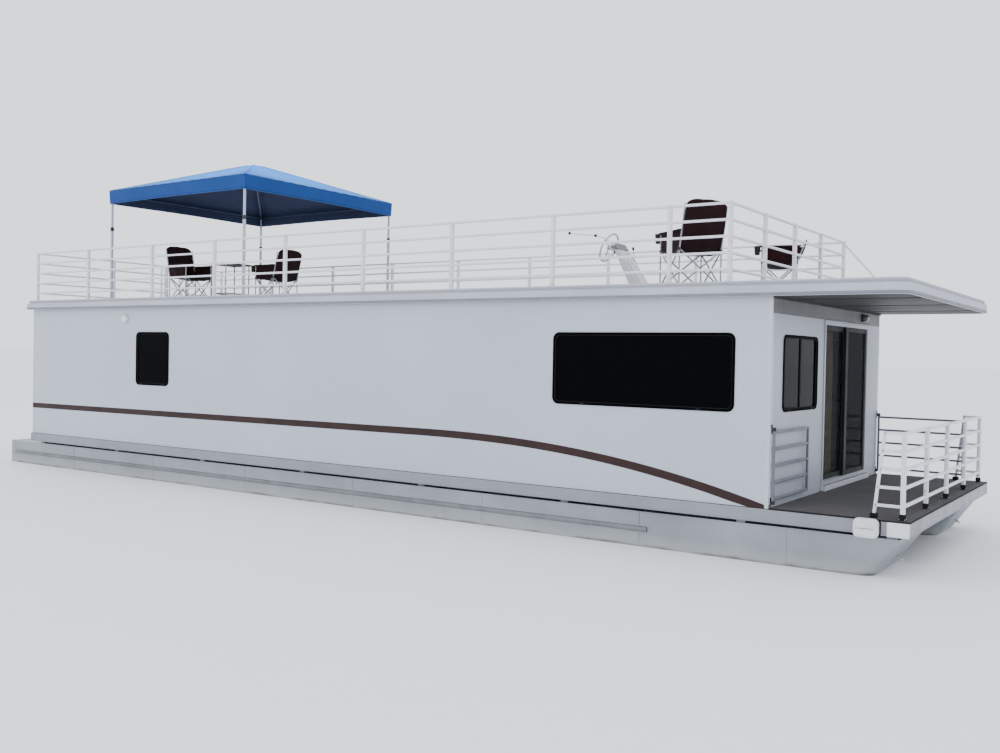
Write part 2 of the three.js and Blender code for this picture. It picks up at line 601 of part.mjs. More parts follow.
function motorSwivel() {
  const tube = rod(30, 2 * (90 - SEAT_GAP)).translate(TILT.x, 0, TILT.z);
  const column = rod(42, 300).rotateX(Math.PI / 2).translate(STEER_X, 0, 750);
  const web = box(STEER_X, -7772, -36, 36, 615, 885);
  const head = box(STEER_X, TILT.x, -50, 50, 880, 930);
  const pin = rod(30, 60 - SEAT_GAP).rotateX(Math.PI / 2).translate(STEER_X, 0, 910 - SEAT_GAP / 2);
  return geometryOf(joined([tube, column, web, head, pin]));
}
piece('motor_swivel', motorSwivel(), FINISH.motorMetal);

// Cowl: a side view and a plan crossed, so that it is rounded both ways
function motorCowl() {
  const side = new THREE.Shape();
  side.moveTo(-7830, 1060);
  side.quadraticCurveTo(-7800, 1300, -7850, 1480);
  side.quadraticCurveTo(-7900, 1570, -8060, 1575);
  side.quadraticCurveTo(-8290, 1560, -8330, 1420);
  side.quadraticCurveTo(-8380, 1250, -8310, 1060);
  const profile = solid(acrossBeam(side, -175, 175, 5));
  const plan = solid(raised(roundedRect(BOW_X * -1, -7800, -175, 175, 150), 1000, 1650, 6));
  return geometryOf(profile.intersect(plan));
}
piece('motor_cowl', motorCowl(), FINISH.motor);

function motorLeg() {
  const foilBack = -8060;
  const foil = (front, back, half) => outline([
    [front, -half], [front, half], [(front + 2 * back) / 3, half], [back, 5], [back, -5],
    [(front + 2 * back) / 3, -half],
  ]);
  const neck = raised(roundedRect(-8250, -7795, -82, 82, 70), 940, 1060 - SEAT_GAP, 4);
  const leg = raised(foil(-7884, foilBack, 46), 180, 960);
  const plate = raised(roundedRect(-8190, -7870, -95, 95, 45), 394, 406, 3);
  const skeg = acrossBeam(outline([[-7950, 240], [-7990, 62], [-8060, 62], [-8095, 240]]), -6, 6);
  const nose = new THREE.LatheGeometry([
    [0, 0], [26, 14], [44, 60], [50, 120], [48, 230], [40, 262], [0, 262],
  ].map(([r, h]) => new THREE.Vector2(r, h)), 14);
  const gearcase = nose.rotateZ(Math.PI / 2).translate(GEARCASE_AFT + 262, 0, PROP.z);
  return geometryOf(joined([neck, leg, plate, skeg, gearcase]));
}
piece('motor_leg', motorLeg(), FINISH.motorMetal);

// Propeller: a hub with three pitched blades
function propeller() {
  const hub = rod(PROP.hub, PROP.hubLength, 18).rotateZ(Math.PI / 2);
  const blades = [0, 1, 2].map((i) => {
    const shape = new THREE.Shape();
    shape.moveTo(-22, 20);
    shape.quadraticCurveTo(-72, 80, -50, 128);
    shape.quadraticCurveTo(-20, 152, 14, 146);
    shape.quadraticCurveTo(62, 110, 24, 20);
    const blade = new THREE.ExtrudeGeometry(shape, { depth: 7, curveSegments: 4, bevelEnabled: false });
    return blade.translate(0, 0, -3.5).rotateY(Math.PI / 2 - 0.5).rotateX((i * 2 * Math.PI) / 3);
  });
  return geometryOf(joined([hub, ...blades]));
}
const prop = piece('propeller', propeller(), FINISH.propeller);
prop.position.set(PROP.x, 0, PROP.z);

// Helm station near the front of the roof deck: a slim console that leans aft, wider at its foot
const HELM = { x: CABIN_FRONT - 2480, y: -700, width: 320 };
const CONSOLE = { top: 645, aftTop: -136, foreTop: -90, aftFoot: 182, foreFoot: 352 };
const WHEEL = { x: HELM.x - 246, z: ROOF_TOP + 600, radius: 190, tube: 13, shaft: 100, turn: -Math.PI / 2 + 0.45 };
const BOSS = { radius: 32, length: 145 }; // round foot of the wheel's shaft, sunk in the console's aft face
function helmConsole() {
  const z0 = ROOF_TOP + SEAT_GAP;
  const z1 = ROOF_TOP + CONSOLE.top;
  const side = outline([
    [HELM.x + CONSOLE.aftFoot, z0], [HELM.x + CONSOLE.foreFoot, z0],
    [HELM.x + CONSOLE.foreTop, z1], [HELM.x + CONSOLE.aftTop, z1],
  ]);
  const body = acrossBeam(side, HELM.y - HELM.width / 2, HELM.y + HELM.width / 2);
  const boss = rod(BOSS.radius, BOSS.length).rotateX(Math.PI / 2);
  boss.translate(0, 0, -WHEEL.shaft - SEAT_GAP - BOSS.length / 2);
  boss.rotateY(WHEEL.turn).translate(WHEEL.x, HELM.y, WHEEL.z);
  return geometryOf(joined([body, boss]));
}
piece('helm_console', helmConsole(), FINISH.helm);

function helmWheel() {
  const rim = new THREE.TorusGeometry(WHEEL.radius, WHEEL.tube, 6, 20);
  const spokes = [0, 1, 2].map((i) => {
    const angle = Math.PI + (i * 2 * Math.PI) / 3; // the first one points down
    const reach = WHEEL.radius;
    return bar([0, 0, 0], [reach * Math.cos(angle), reach * Math.sin(angle), 0], 26, 9);
  });
  const hub = rod(30, WHEEL.shaft + 16).rotateX(Math.PI / 2).translate(0, 0, 8 - WHEEL.shaft / 2);
  return geometryOf(joined([rim, hub, ...spokes]));
}
const wheel = piece('helm_wheel', helmWheel(), FINISH.wheel);
wheel.position.set(WHEEL.x, HELM.y, WHEEL.z);
wheel.rotation.y = WHEEL.turn;

// Sun canopy: four legs with feet, eave bars and rafters, under a pyramid cover with a valance
const CANOPY = { x: CABIN_FRONT - 10318, half: 1740, valanceZ: 5060, eaveZ: 5285, peakZ: 5880, skin: 12, leg: 38 };
const canopyGroup = new THREE.Group();
canopyGroup.position.set(CANOPY.x, 0, 0);
boat.add(canopyGroup);

function pyramid(half, z0, z1) {
  const cone = new THREE.ConeGeometry(half * Math.SQRT2, z1 - z0, 4, 1);
  return cone.rotateY(Math.PI / 4).rotateX(Math.PI / 2).translate(0, 0, (z0 + z1) / 2);
}
const INNER = { half: CANOPY.half - CANOPY.skin, eave: CANOPY.eaveZ - 9, peak: CANOPY.peakZ - 13 };
function canopyTop() {
  const { half, valanceZ, eaveZ, peakZ } = CANOPY;
  const outside = joined([box(-half, half, -half, half, valanceZ, eaveZ), pyramid(half, eaveZ, peakZ)]);
  return geometryOf(cut(outside, [
    box(-INNER.half, INNER.half, -INNER.half, INNER.half, valanceZ - 20, INNER.eave),
    pyramid(INNER.half, INNER.eave, INNER.peak),
  ]));
}
piece('canopy_top', canopyTop(), FINISH.canopy, canopyGroup);

// Height of the cover's underside at a distance from the middle
function canopyUnderside(reach) {
  return INNER.eave + ((INNER.half - reach) * (INNER.peak - INNER.eave)) / INNER.half;
}
function canopyFrame() {
  const { leg, half } = CANOPY;
  const at = half - 40;
  const legTop = canopyUnderside(at + leg / 2) - SEAT_GAP;
  const eave = 5225;
  const parts = [];
  for (const sx of [-1, 1]) {
    for (const sy of [-1, 1]) {
      parts.push(box(sx * at - leg / 2, sx * at + leg / 2, sy * at - leg / 2, sy * at + leg / 2,
        ROOF_TOP + SEAT_GAP, legTop));
      parts.push(box(sx * at - 50, sx * at + 50, sy * at - 50, sy * at + 50,
        ROOF_TOP + SEAT_GAP, ROOF_TOP + 8));
      parts.push(bar([sx * at, sy * at, eave], [0, 0, CANOPY.peakZ - 90], 24));
    }
    parts.push(bar([sx * at, -at, eave], [sx * at, at, eave], 24));
    parts.push(bar([-at, sx * at, eave], [at, sx * at, eave], 24));
  }
  parts.push(box(-30, 30, -30, 30, CANOPY.peakZ - 160, CANOPY.peakZ - 60));
  return geometryOf(joined(parts));
}
piece('canopy_frame', canopyFrame(), FINISH.rail, canopyGroup);

// Folding deck chairs: crossed legs, arms and a fabric sling. In a chair's own frame it faces +X.
const CHAIRS = [
  { name: 'chair_a', s: 11100, y: -750, turn: 0, back: 1000 },
  { name: 'chair_b', s: 9700, y: 0, turn: 180, back: 930 },
  { name: 'chair_c', s: 1330, y: -1230, turn: 145, back: 1010 },
  { name: 'chair_d', s: 960, y: 800, turn: 200, back: 760 },
];
const CHAIR = { front: 235, rear: -205, half: 280, seat: 440, arm: 655, armHalf: 26, tube: 20 };

function chairFrame(back) {
  const { front, rear, half, seat, arm, armHalf, tube } = CHAIR;
  const low = SEAT_GAP + tube / 2;
  const parts = [];
  for (const x of [front, rear]) {
    parts.push(bar([x, -half, low], [x, half, seat], tube));
    parts.push(bar([x, half, low], [x, -half, seat], tube));
    parts.push(bar([x, -half, seat], [x, half, seat], tube));
  }
  for (const y of [-half, half]) {
    parts.push(bar([rear, y, low], [front, y, seat], tube));
    parts.push(bar([front, y, low], [rear, y, seat], tube));
    parts.push(bar([front, y, SEAT_GAP], [front, y, arm], tube));
    parts.push(bar([rear, y, SEAT_GAP], [rear, y, seat + 10], tube));
    parts.push(bar([rear, y, seat], [rear - 120, y, back], tube));
    parts.push(box(rear - 60, front + 60, y - armHalf, y + armHalf, arm - 10, arm + 14));
  }
  return geometryOf(joined(parts));
}

function chairSling(back) {
  const { front, rear, half, seat, tube } = CHAIR;
  const top = seat + tube / 2 + SEAT_GAP;
  const width = half - CHAIR.armHalf - 8;
  const section = outline([
    [front, top], [front, top + 24], [rear + 40, top + 24], [rear - 118, back], [rear - 146, back],
    [rear + 12, top],
  ]);
  return acrossBeam(section, -width, width);
}

for (const { name, s, y, turn, back } of CHAIRS) {
  const chair = new THREE.Group();
  chair.position.set(CABIN_FRONT - s, y, ROOF_TOP);
  chair.rotation.z = THREE.MathUtils.degToRad(turn);
  boat.add(chair);
  piece(`${name}_frame`, chairFrame(back), FINISH.chairFrame, chair);
  piece(`${name}_sling`, chairSling(back), FINISH.sling, chair);
}

// Small folding table between the chairs under the canopy
const TABLE = { x: CABIN_FRONT - 10460, y: -400, halfX: 230, halfY: 300, top: 690, leg: 26 };
function deckTable() {
  const { x, y, halfX, halfY, top, leg } = TABLE;
  const z0 = ROOF_TOP + SEAT_GAP;
  const parts = [box(x - halfX, x + halfX, y - halfY, y + halfY, ROOF_TOP + top - 26, ROOF_TOP + top)];
  for (const sx of [-1, 1]) {
    for (const sy of [-1, 1]) {
      const lx = x + sx * (halfX - 40);
      const ly = y + sy * (halfY - 40);
      parts.push(box(lx - leg / 2, lx + leg / 2, ly - leg / 2, ly + leg / 2, z0, ROOF_TOP + top - 10));
    }
    parts.push(bar([x + sx * (halfX - 40), y - halfY + 40, ROOF_TOP + 160],
      [x + sx * (halfX - 40), y + halfY - 40, ROOF_TOP + 160], 20));
    parts.push(bar([x - halfX + 40, y + sx * (halfY - 40), ROOF_TOP + 160],
      [x + halfX - 40, y + sx * (halfY - 40), ROOF_TOP + 160], 20));
  }
  return geometryOf(joined(parts));
}
piece('deck_table', deckTable(), FINISH.table);

export default boat;
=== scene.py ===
"""Looks of a twin-hull houseboat: its finishes, its detailed pieces, the light and the camera.

Metres. +X to the bow, +Y to port, +Z up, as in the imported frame. The boat floats, so the floor is
at the waterline and both hulls reach through it.
"""

import json
import logging
import math
from collections.abc import Callable, Iterable, Sequence
from dataclasses import dataclass
from enum import Enum
from itertools import accumulate, product

import bmesh
import bpy
from mathutils import Matrix, Vector

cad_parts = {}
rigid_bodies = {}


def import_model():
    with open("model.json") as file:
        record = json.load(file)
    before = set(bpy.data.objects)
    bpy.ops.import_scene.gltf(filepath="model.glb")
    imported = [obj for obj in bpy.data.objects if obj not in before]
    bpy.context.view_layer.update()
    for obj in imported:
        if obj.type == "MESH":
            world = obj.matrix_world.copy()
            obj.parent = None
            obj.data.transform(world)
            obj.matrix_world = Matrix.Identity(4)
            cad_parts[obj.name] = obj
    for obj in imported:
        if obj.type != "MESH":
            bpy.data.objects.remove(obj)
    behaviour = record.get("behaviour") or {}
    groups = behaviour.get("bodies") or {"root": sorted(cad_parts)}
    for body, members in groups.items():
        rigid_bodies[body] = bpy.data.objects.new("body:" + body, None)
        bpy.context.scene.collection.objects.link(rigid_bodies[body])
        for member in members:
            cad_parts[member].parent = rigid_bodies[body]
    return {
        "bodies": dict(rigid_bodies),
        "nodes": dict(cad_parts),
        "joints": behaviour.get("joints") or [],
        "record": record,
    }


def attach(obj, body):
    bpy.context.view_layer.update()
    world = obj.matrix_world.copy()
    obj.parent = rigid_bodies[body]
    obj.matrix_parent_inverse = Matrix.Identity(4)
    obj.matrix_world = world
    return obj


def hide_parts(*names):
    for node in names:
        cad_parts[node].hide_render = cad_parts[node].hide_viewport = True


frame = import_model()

Point = Sequence[float]
Pair = tuple[float, float]
Rows = tuple[tuple[float, ...], ...]
Color = tuple[int, int, int]
Socket = bpy.types.NodeSocket
Thing = bpy.types.Object

LOG = logging.getLogger("houseboat")
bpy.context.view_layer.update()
WATERLINE = 0.4
CABIN_FRONT = 6.93
BOAT = "boat"
BOTH = (-1, 1)
X, Y, Z = (Vector(axis) for axis in ((1, 0, 0), (0, 1, 0), (0, 0, 1)))


class Side(Enum):
    """The two sides of the boat, by the sign of Y."""

    STARBOARD = -1
    PORT = 1

    @property
    def label(self) -> str:
        """The side's name as the frame spells it."""
        return self.name.lower()


class Grain(Enum):
    """The kinds of small relief that a finish can have."""

    FINE = "fine"
    BRUSHED = "brushed"
    PEBBLE = "pebble"
    PILE = "pile"
    WEAVE = "weave"


def lerp(a: float, b: float, t: float) -> float:
    """The value that lies the share t of the way from a to b."""
    return a + (b - a) * t


def arc(u: float, v: float, radius: float, start: float, steps: int) -> list[Pair]:
    """A quarter of a circle round (u, v), from an angle that is given in quarter turns."""
    turns = ((start + i / steps) * math.pi / 2 for i in range(steps + 1))
    return [(u + radius * math.cos(turn), v + radius * math.sin(turn)) for turn in turns]


def rounded(half_u: float, half_v: float, radius: float, steps: int = 4) -> list[Pair]:
    """Outline of a rectangle with round corners, counter-clockwise, as (u, v)."""
    points = []
    for quarter, (u, v) in enumerate(((1, 1), (-1, 1), (-1, -1), (1, -1))):
        points += arc(half_u * u - radius * u, half_v * v - radius * v, radius, quarter, steps)
    return points


def circle(radius: float, sides: int) -> list[Pair]:
    """A regular outline of that many sides, counter-clockwise."""
    turn = 2 * math.pi / sides
    return [(radius * math.cos(i * turn), radius * math.sin(i * turn)) for i in range(sides)]


def drum(radius: float, low: float, high: float) -> list[Pair]:
    """Profile of a plain drum between two heights, to be turned."""
    return [(0, low), (radius, low), (radius, high), (0, high)]


def along_x(x: Pair, y: float, z: float) -> list[Point]:
    """A straight row fore and aft."""
    return [(x[0], y, z), (x[1], y, z)]


def along_y(x: float, y: Pair, z: float) -> list[Point]:
    """A straight row across the boat."""
    return [(x, y[0], z), (x, y[1], z)]


def cross_axes(direction: Vector) -> tuple[Vector, Vector]:
    """Two axes square to a direction; the second is as near to up as it can be."""
    near = X if abs(direction.z) > 0.95 else Z
    across = near.cross(direction).normalized()
    return across, direction.cross(across).normalized()


def add_object(name: str, data: bpy.types.ID | None) -> Thing:
    """Puts a new object in the scene, at the origin and unturned."""
    thing = bpy.data.objects.new(name, data)
    bpy.context.scene.collection.objects.link(thing)
    return thing


class Shape:
    """A mesh in the making, in the boat's frame. Each call adds to it and returns the shape."""

    def __init__(self) -> None:
        """Starts an empty shape."""
        self.mesh = bmesh.new()

    def skin(self, rings: Iterable[Sequence[Point]], loop: bool = False, caps: bool = True) -> "Shape":
        """Joins rings of points by faces.

        Args:
            rings: rings with equal numbers of points.
            loop: True joins the last ring to the first.
            caps: True closes the two ends.

        Returns:
            The shape.
        """
        made = [[self.mesh.verts.new(point) for point in ring] for ring in rings]
        pairs = list(zip(made, made[1:])) + ([(made[-1], made[0])] if loop else [])
        count = len(made[0])
        for (one, two), i in product(pairs, range(count)):
            j = (i + 1) % count
            self.mesh.faces.new((one[i], one[j], two[j], two[i]))
        if caps and not loop:
            self.mesh.faces.new(list(reversed(made[0])))
            self.mesh.faces.new(made[-1])
        return self

    def box(self, low: Point, high: Point) -> "Shape":
        """Adds a box by its lowest and highest corners."""
        corners = [(low[0], low[1]), (high[0], low[1]), (high[0], high[1]), (low[0], high[1])]
        return self.skin([[(x, y, z) for x, y in corners] for z in (low[2], high[2])])

    def twin_boxes(self, low: Point, high: Point) -> "Shape":
        """Adds a box on the port side and its mirror image on the starboard side."""
        self.box((low[0], -high[1], low[2]), (high[0], -low[1], high[2]))
        return self.box(low, high)

    def bar(
        self, start: Point, end: Point, width: float, depth: float | None = None, corner: float = 0.004,
    ) -> "Shape":
        """Adds a straight bar with rounded edges.

        Args:
            start: middle of the first end.
            end: middle of the last end.
            width: size across, along Y for a post or a fore-and-aft bar.
            depth: size along the other axis; the same as width where it is None.
            corner: radius of the long edges.

        Returns:
            The shape.
        """
        half = (width if depth is None else depth) / 2
        return self.sweep(start, end, rounded(width / 2, half, corner, 2))

    def rod(self, start: Point, end: Point, radius: float, sides: int) -> "Shape":
        """Adds a round rod."""
        return self.sweep(start, end, circle(radius, sides))

    def sweep(self, start: Point, end: Point, outline: Sequence[Pair]) -> "Shape":
        """Adds a straight stick of any outline."""
        ends = Vector(start), Vector(end)
        across, up = cross_axes((ends[1] - ends[0]).normalized())
        return self.skin([[point + across * u + up * v for u, v in outline] for point in ends])

    def turned(self, profile: Sequence[Pair], origin: Point, axis: Vector, sides: int = 24) -> "Shape":
        """Turns a profile of (radius, height) round an axis; both ends of it are closed.

        Args:
            profile: the outline from one end to the other; a radius of zero at an end is a pole.
            origin: where the height is zero.
            axis: the way that the height runs.
            sides: straight steps in a full turn.

        Returns:
            The shape.
        """
        axis = axis.normalized()
        across, up = cross_axes(axis)
        spun = [(radius, Vector(origin) + axis * height) for radius, height in profile]
        made = [
            [self.mesh.verts.new(middle + across * u + up * v) for u, v in circle(radius, sides)]
            for radius, middle in spun if radius > 0
        ]
        for (one, two), i in product(zip(made, made[1:]), range(sides)):
            j = (i + 1) % sides
            self.mesh.faces.new((one[i], one[j], two[j], two[i]))
        for (radius, pole), ring, order in ((spun[0], made[0], -1), (spun[-1], made[-1], 1)):
            if radius > 0:
                self.mesh.faces.new(ring[::order])
                continue
            tip = self.mesh.verts.new(pole)
            for i in range(sides):
                self.mesh.faces.new((*(ring[i], ring[(i + 1) % sides])[::order], tip))
        return self

    def prism(self, outline: Iterable[Point], thickness: Vector) -> "Shape":
        """Adds a flat outline of points, run along a thickness vector."""
        base = [Vector(p) for p in outline]
        return self.skin([base, [p + thickness for p in base]])

    def frame_ring(self, outer: Sequence[Vector], inner: Sequence[Vector], thickness: Vector) -> "Shape":
        """Adds a flat ring between two outlines with equal numbers of points."""
        tops = [[p + thickness for p in ring] for ring in (inner, outer)]
        return self.skin([outer, inner, *tops], loop=True)

    def patch(
        self, uv: bmesh.types.BMLayerItem, corners: Iterable[bmesh.types.BMVert], spots: Iterable[Pair],
    ) -> None:
        """Adds one face of a cloth, with the place of each corner in the flat cloth."""
        for loop, spot in zip(self.mesh.faces.new(corners).loops, spots):
            loop[uv].uv = spot

    def cloth(
        self, place: Callable[[int, int], Vector], columns: int, width: float, run: Sequence[float],
    ) -> "Shape":
        """Adds an open cloth that carries its own cut, in metres, as a UV map.

        Args:
            place: the cloth's point at a column and a row.
            columns: cells across.
            width: the flat cloth's width.
            run: the flat cloth's length from its first edge to each row.

        Returns:
            The shape.
        """
        uv = self.mesh.loops.layers.uv.new("cut")
        grid = [[self.mesh.verts.new(place(i, j)) for i in range(columns + 1)] for j in range(len(run))]
        for j, i in product(range(len(run) - 1), range(columns)):
            cell = ((i, j), (i + 1, j), (i + 1, j + 1), (i, j + 1))
            spots = [(a / columns * width, run[b]) for a, b in cell]
            self.patch(uv, [grid[b][a] for a, b in cell], spots)
        return self

    def thing(self, name: str) -> Thing:
        """Ends the shape and gives a bare object that has its mesh."""
        mesh = bpy.data.meshes.new(name)
        self.mesh.to_mesh(mesh)
        self.mesh.free()
        return add_object(name, mesh)

    def piece(
        self, name: str, finish: "Finish", body: str = BOAT, slot: str = "", node: str = "",
        bevel: float = 0, sharp: float = 35, subdivide: int = 0,
    ) -> Thing:
        """Turns the shape into a finished piece that rides on a body.

        Args:
            name: the piece's name.
            finish: its finish.
            body: the body that it rides on.
            slot: the record's material slot, where the piece stands for one; not used.
            node: the node that it stands for.
            bevel: width of the rounded edges.
            sharp: edges that turn more than this many degrees stay sharp.
            subdivide: levels of subdivision.

        Returns:
            The new object.
        """
        bmesh.ops.recalc_face_normals(self.mesh, faces=self.mesh.faces)
        thing = self.thing(name)
        dress(thing, finish, sharp)
        if bevel:
            edge = thing.modifiers.new("edges", "BEVEL")
            edge.width, edge.segments, edge.limit_method = bevel, 2, "ANGLE"
            edge.angle_limit = math.radians(sharp)
            edge.harden_normals = True
        if subdivide:
            round_off = thing.modifiers.new("rounding", "SUBSURF")
            round_off.levels = round_off.render_levels = subdivide
        return settle(thing, body, slot, node)


def dress(thing: Thing, finish: "Finish", sharp: float = 35) -> None:
    """Gives a new mesh its finish and smooth shading that stops at sharp edges."""
    mesh = thing.data
    mesh.materials.clear()
    mesh.materials.append(finish.material())
    mesh.polygons.foreach_set("use_smooth", [True] * len(mesh.polygons))
    mesh.set_sharp_from_angle(angle=math.radians(sharp))
    mesh.update()


def settle(thing: Thing, body: str, slot: str, node: str) -> Thing:
    """Puts a piece on its body and hides the node that it stands for."""
    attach(thing, body)
    if node:
        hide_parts(node)
    LOG.info("%s rides on %s", thing.name, body)
    return thing


def repaint(finish: "Finish", *nodes: str) -> None:
    """Gives carried-over nodes a finish; their shapes stay."""
    for node in nodes:
        thing = frame["nodes"][node]
        if not thing.material_slots:
            thing.data.materials.append(None)
        for slot in thing.material_slots:
            slot.material = finish.material()
        LOG.info("%s repainted as %s", node, finish.name)


def linear(color: Sequence[int]) -> tuple[float, float, float, float]:
    """A screen colour of 0 to 255 as the shader's linear colour."""
    parts = [value / 255 for value in color]
    return (*(p / 12.92 if p <= 0.04045 else ((p + 0.055) / 1.055) ** 2.4 for p in parts), 1)


def add_node(
    tree: bpy.types.NodeTree, kind: str, inputs: dict | None = None, **settings: object,
) -> bpy.types.Node:
    """Adds a node to a tree.

    Args:
        tree: a material's or a Geometry Nodes tree.
        kind: the node's type name.
        inputs: values or sockets for its inputs, by name or number.
        settings: its properties.

    Returns:
        The new node.
    """
    node = tree.nodes.new(kind)
    for key, value in settings.items():
        setattr(node, key, value)
    for key, value in (inputs or {}).items():
        if isinstance(value, Socket):
            tree.links.new(value, node.inputs[key])
        else:
            node.inputs[key].default_value = value
    return node


class Nodes:
    """Shorthand for one material's node tree."""

    def __init__(self, name: str) -> None:
        """Starts a material with its shader."""
        self.material = bpy.data.materials.new(name)
        self.material.use_nodes = True
        self.tree = self.material.node_tree
        self.shader = self.tree.nodes["Principled BSDF"]

    def out(self, kind: str, inputs: dict, output: int | str = 0, **settings: object) -> Socket:
        """Adds a node, as add_node does, and gives one of its outputs."""
        return add_node(self.tree, kind, inputs, **settings).outputs[output]

    def place(self, uv: bool = False) -> Socket:
        """Object coordinates, or the piece's own UV map in metres."""
        return self.out("ShaderNodeTexCoord", {}, "UV" if uv else "Object")

    def stretched(self, where: Socket, scale: Point) -> Socket:
        """Coordinates scaled along each axis."""
        return self.out("ShaderNodeMapping", {"Vector": where, "Scale": scale})

    def noise(self, where: Socket, scale: float, detail: float = 3) -> Socket:
        """Soft noise from 0 to 1, in patches of about one over the scale in metres."""
        return self.out("ShaderNodeTexNoise", {"Vector": where, "Scale": scale, "Detail": detail})

    def cells(self, where: Socket, scale: float) -> Socket:
        """Distance to the nearest of many scattered points."""
        return self.out("ShaderNodeTexVoronoi", {"Vector": where, "Scale": scale})

    def ramp(self, value: Socket, low: float, high: float, bottom: float = 0, top: float = 1) -> Socket:
        """Maps low..high to bottom..top and stops at both ends."""
        return self.out("ShaderNodeMapRange", {0: value, 1: low, 2: high, 3: bottom, 4: top})

    def calc(self, operation: str, a: Socket, b: Socket | float) -> Socket:
        """One sum on two values or sockets."""
        return self.out("ShaderNodeMath", {0: a, 1: b}, operation=operation)

    def blend(self, a: Socket | Color, b: Socket | Color, share: Socket) -> Socket:
        """Mixes two colours, sockets or screen colours, by a share from 0 to 1."""
        a, b = (mix if isinstance(mix, Socket) else linear(mix) for mix in (a, b))
        return self.out("ShaderNodeMix", {0: share, 6: a, 7: b}, 2, data_type="RGBA")

    def height(self, where: Socket) -> Socket:
        """The height over the keel."""
        return self.out("ShaderNodeSeparateXYZ", {0: where}, "Z")

    def facing_up(self) -> Socket:
        """The surface normal's height, from -1 below to 1 on top."""
        return self.height(self.out("ShaderNodeNewGeometry", {}, "Normal"))

    def bump(self, height: Socket, distance: float, under: Socket | None = None) -> Socket:
        """Relief of a depth in metres, laid over other relief where it is given."""
        over = {} if under is None else {"Normal": under}
        return self.out("ShaderNodeBump", {"Height": height, "Distance": distance, "Strength": 1, **over})

    def set(self, **values: object) -> None:
        """Sets the shader's inputs, by name with _ for a space."""
        for key, value in values.items():
            socket = self.shader.inputs[key.replace("_", " ")]
            if isinstance(value, Socket):
                self.tree.links.new(value, socket)
            else:
                socket.default_value = value


MADE: dict[str, bpy.types.Material] = {}


@dataclass(frozen=True)
class Finish:
    """A surface finish: its colour, the slow change in it, its gloss and its relief."""

    name: str
    color: Color
    roughness: float = 0.5
    metallic: float = 0
    tone: Color | None = None
    tone_share: float = 0.5
    patch_scale: float = 1.4
    grain: Grain = Grain.FINE
    grain_scale: float = 260
    grain_depth: float = 0.00015
    wave_depth: float = 0
    coat: float = 0
    specular: float = 0.5
    sheen: float = 0
    uv: bool = False

    def material(self) -> bpy.types.Material:
        """The finish's material, made once."""
        if self.name not in MADE:
            nodes = Nodes(self.name)
            self.fill(nodes)
            MADE[self.name] = nodes.material
        return MADE[self.name]

    def fill(self, nodes: Nodes) -> None:
        """Sets the colour, the gloss and the relief of the material."""
        where = nodes.place(self.uv)
        patches = nodes.ramp(nodes.noise(where, self.patch_scale, 6), 0.35, 0.7)
        shade = self.tone or [round(part * 0.86) for part in self.color]
        color = nodes.blend(self.color, shade, nodes.calc("MULTIPLY", patches, self.tone_share))
        gloss = nodes.ramp(patches, 0, 1, self.roughness, min(1, self.roughness + 0.12))
        nodes.set(
            Base_Color=self.weathered(nodes, where, color), Roughness=gloss, Metallic=self.metallic,
            Specular_IOR_Level=self.specular, Coat_Weight=self.coat, Sheen_Weight=self.sheen,
            Normal=self.relief(nodes, where),
        )

    def weathered(self, nodes: Nodes, where: Socket, color: Socket) -> Socket:
        """The colour after wear, and after painted light and shade where a finish has them; plain finishes
        have none beyond their patches.
        """
        return color

    def relief(self, nodes: Nodes, where: Socket) -> Socket:
        """The small relief of the finish's grain over its slow waves."""
        under = nodes.bump(nodes.noise(where, 1.1, 2), self.wave_depth) if self.wave_depth else None
        scale = self.grain_scale
        if self.grain is Grain.BRUSHED:
            height = nodes.noise(nodes.stretched(where, (0.04, 1, 1)), scale, 4)
        elif self.grain is Grain.PEBBLE:
            height = nodes.ramp(nodes.cells(where, scale), 0, 0.7)
        elif self.grain is Grain.PILE:
            height = nodes.calc("ADD", nodes.cells(where, scale), nodes.noise(where, scale * 2.5, 2))
        elif self.grain is Grain.WEAVE:
            thread = {"Vector": where, "Scale": scale, "Distortion": 0.6, "Detail": 1}
            warp, weft = (nodes.out("ShaderNodeTexWave", thread, 1, bands_direction=way) for way in "XY")
            height = nodes.calc("MULTIPLY", warp, weft)
        else:
            height = nodes.noise(where, scale, 3)
        return nodes.bump(height, self.grain_depth, under)


@dataclass(frozen=True)
class PanelPaint(Finish):
    """White paint on big wall panels: rain streaks from the top and grime near the deck."""

    streak: Color = (150, 152, 150)
    foot: float = 1.25

    def weathered(self, nodes: Nodes, where: Socket, color: Socket) -> Socket:
        """Adds thin streaks that run down and a faint dirty foot."""
        runs = nodes.noise(nodes.stretched(where, (9, 9, 0.35)), 1, 5)
        fade = nodes.ramp(nodes.height(where), 2.2, 3.2, 0.1, 1)
        streaks = nodes.calc("MULTIPLY", nodes.ramp(runs, 0.58, 0.8, 0, 0.22), fade)
        color = nodes.blend(color, self.streak, streaks)
        low = nodes.ramp(nodes.height(where), 0.98, self.foot, 0.16, 0)
        ragged = nodes.calc("MULTIPLY", low, nodes.ramp(nodes.noise(where, 5, 6), 0.3, 0.75))
        return nodes.blend(color, self.streak, ragged)


@dataclass(frozen=True)
class RoofShell(Finish):
    """Gel coat that is non-skid on top and bright on the edge, with painted shade that makes the underside
    dark grey.
    """

    top: Color = (170, 174, 178)
    trodden: Color = (150, 152, 152)
    below: Color = (76, 75, 74)

    def weathered(self, nodes: Nodes, where: Socket, color: Socket) -> Socket:
        """Picks the colour by the way that the surface faces, with foot traffic dirt on top and painted shade
        on the underside.
        """
        up = nodes.facing_up()
        worn = nodes.ramp(nodes.noise(where, 0.8, 7), 0.45, 0.75, 0, 0.45)
        color = nodes.blend(color, nodes.blend(self.top, self.trodden, worn), nodes.ramp(up, 0.5, 0.9))
        # Painted shade: the downward faces take the dark grey.
        return nodes.blend(color, self.below, nodes.ramp(up, -0.5, -0.9))


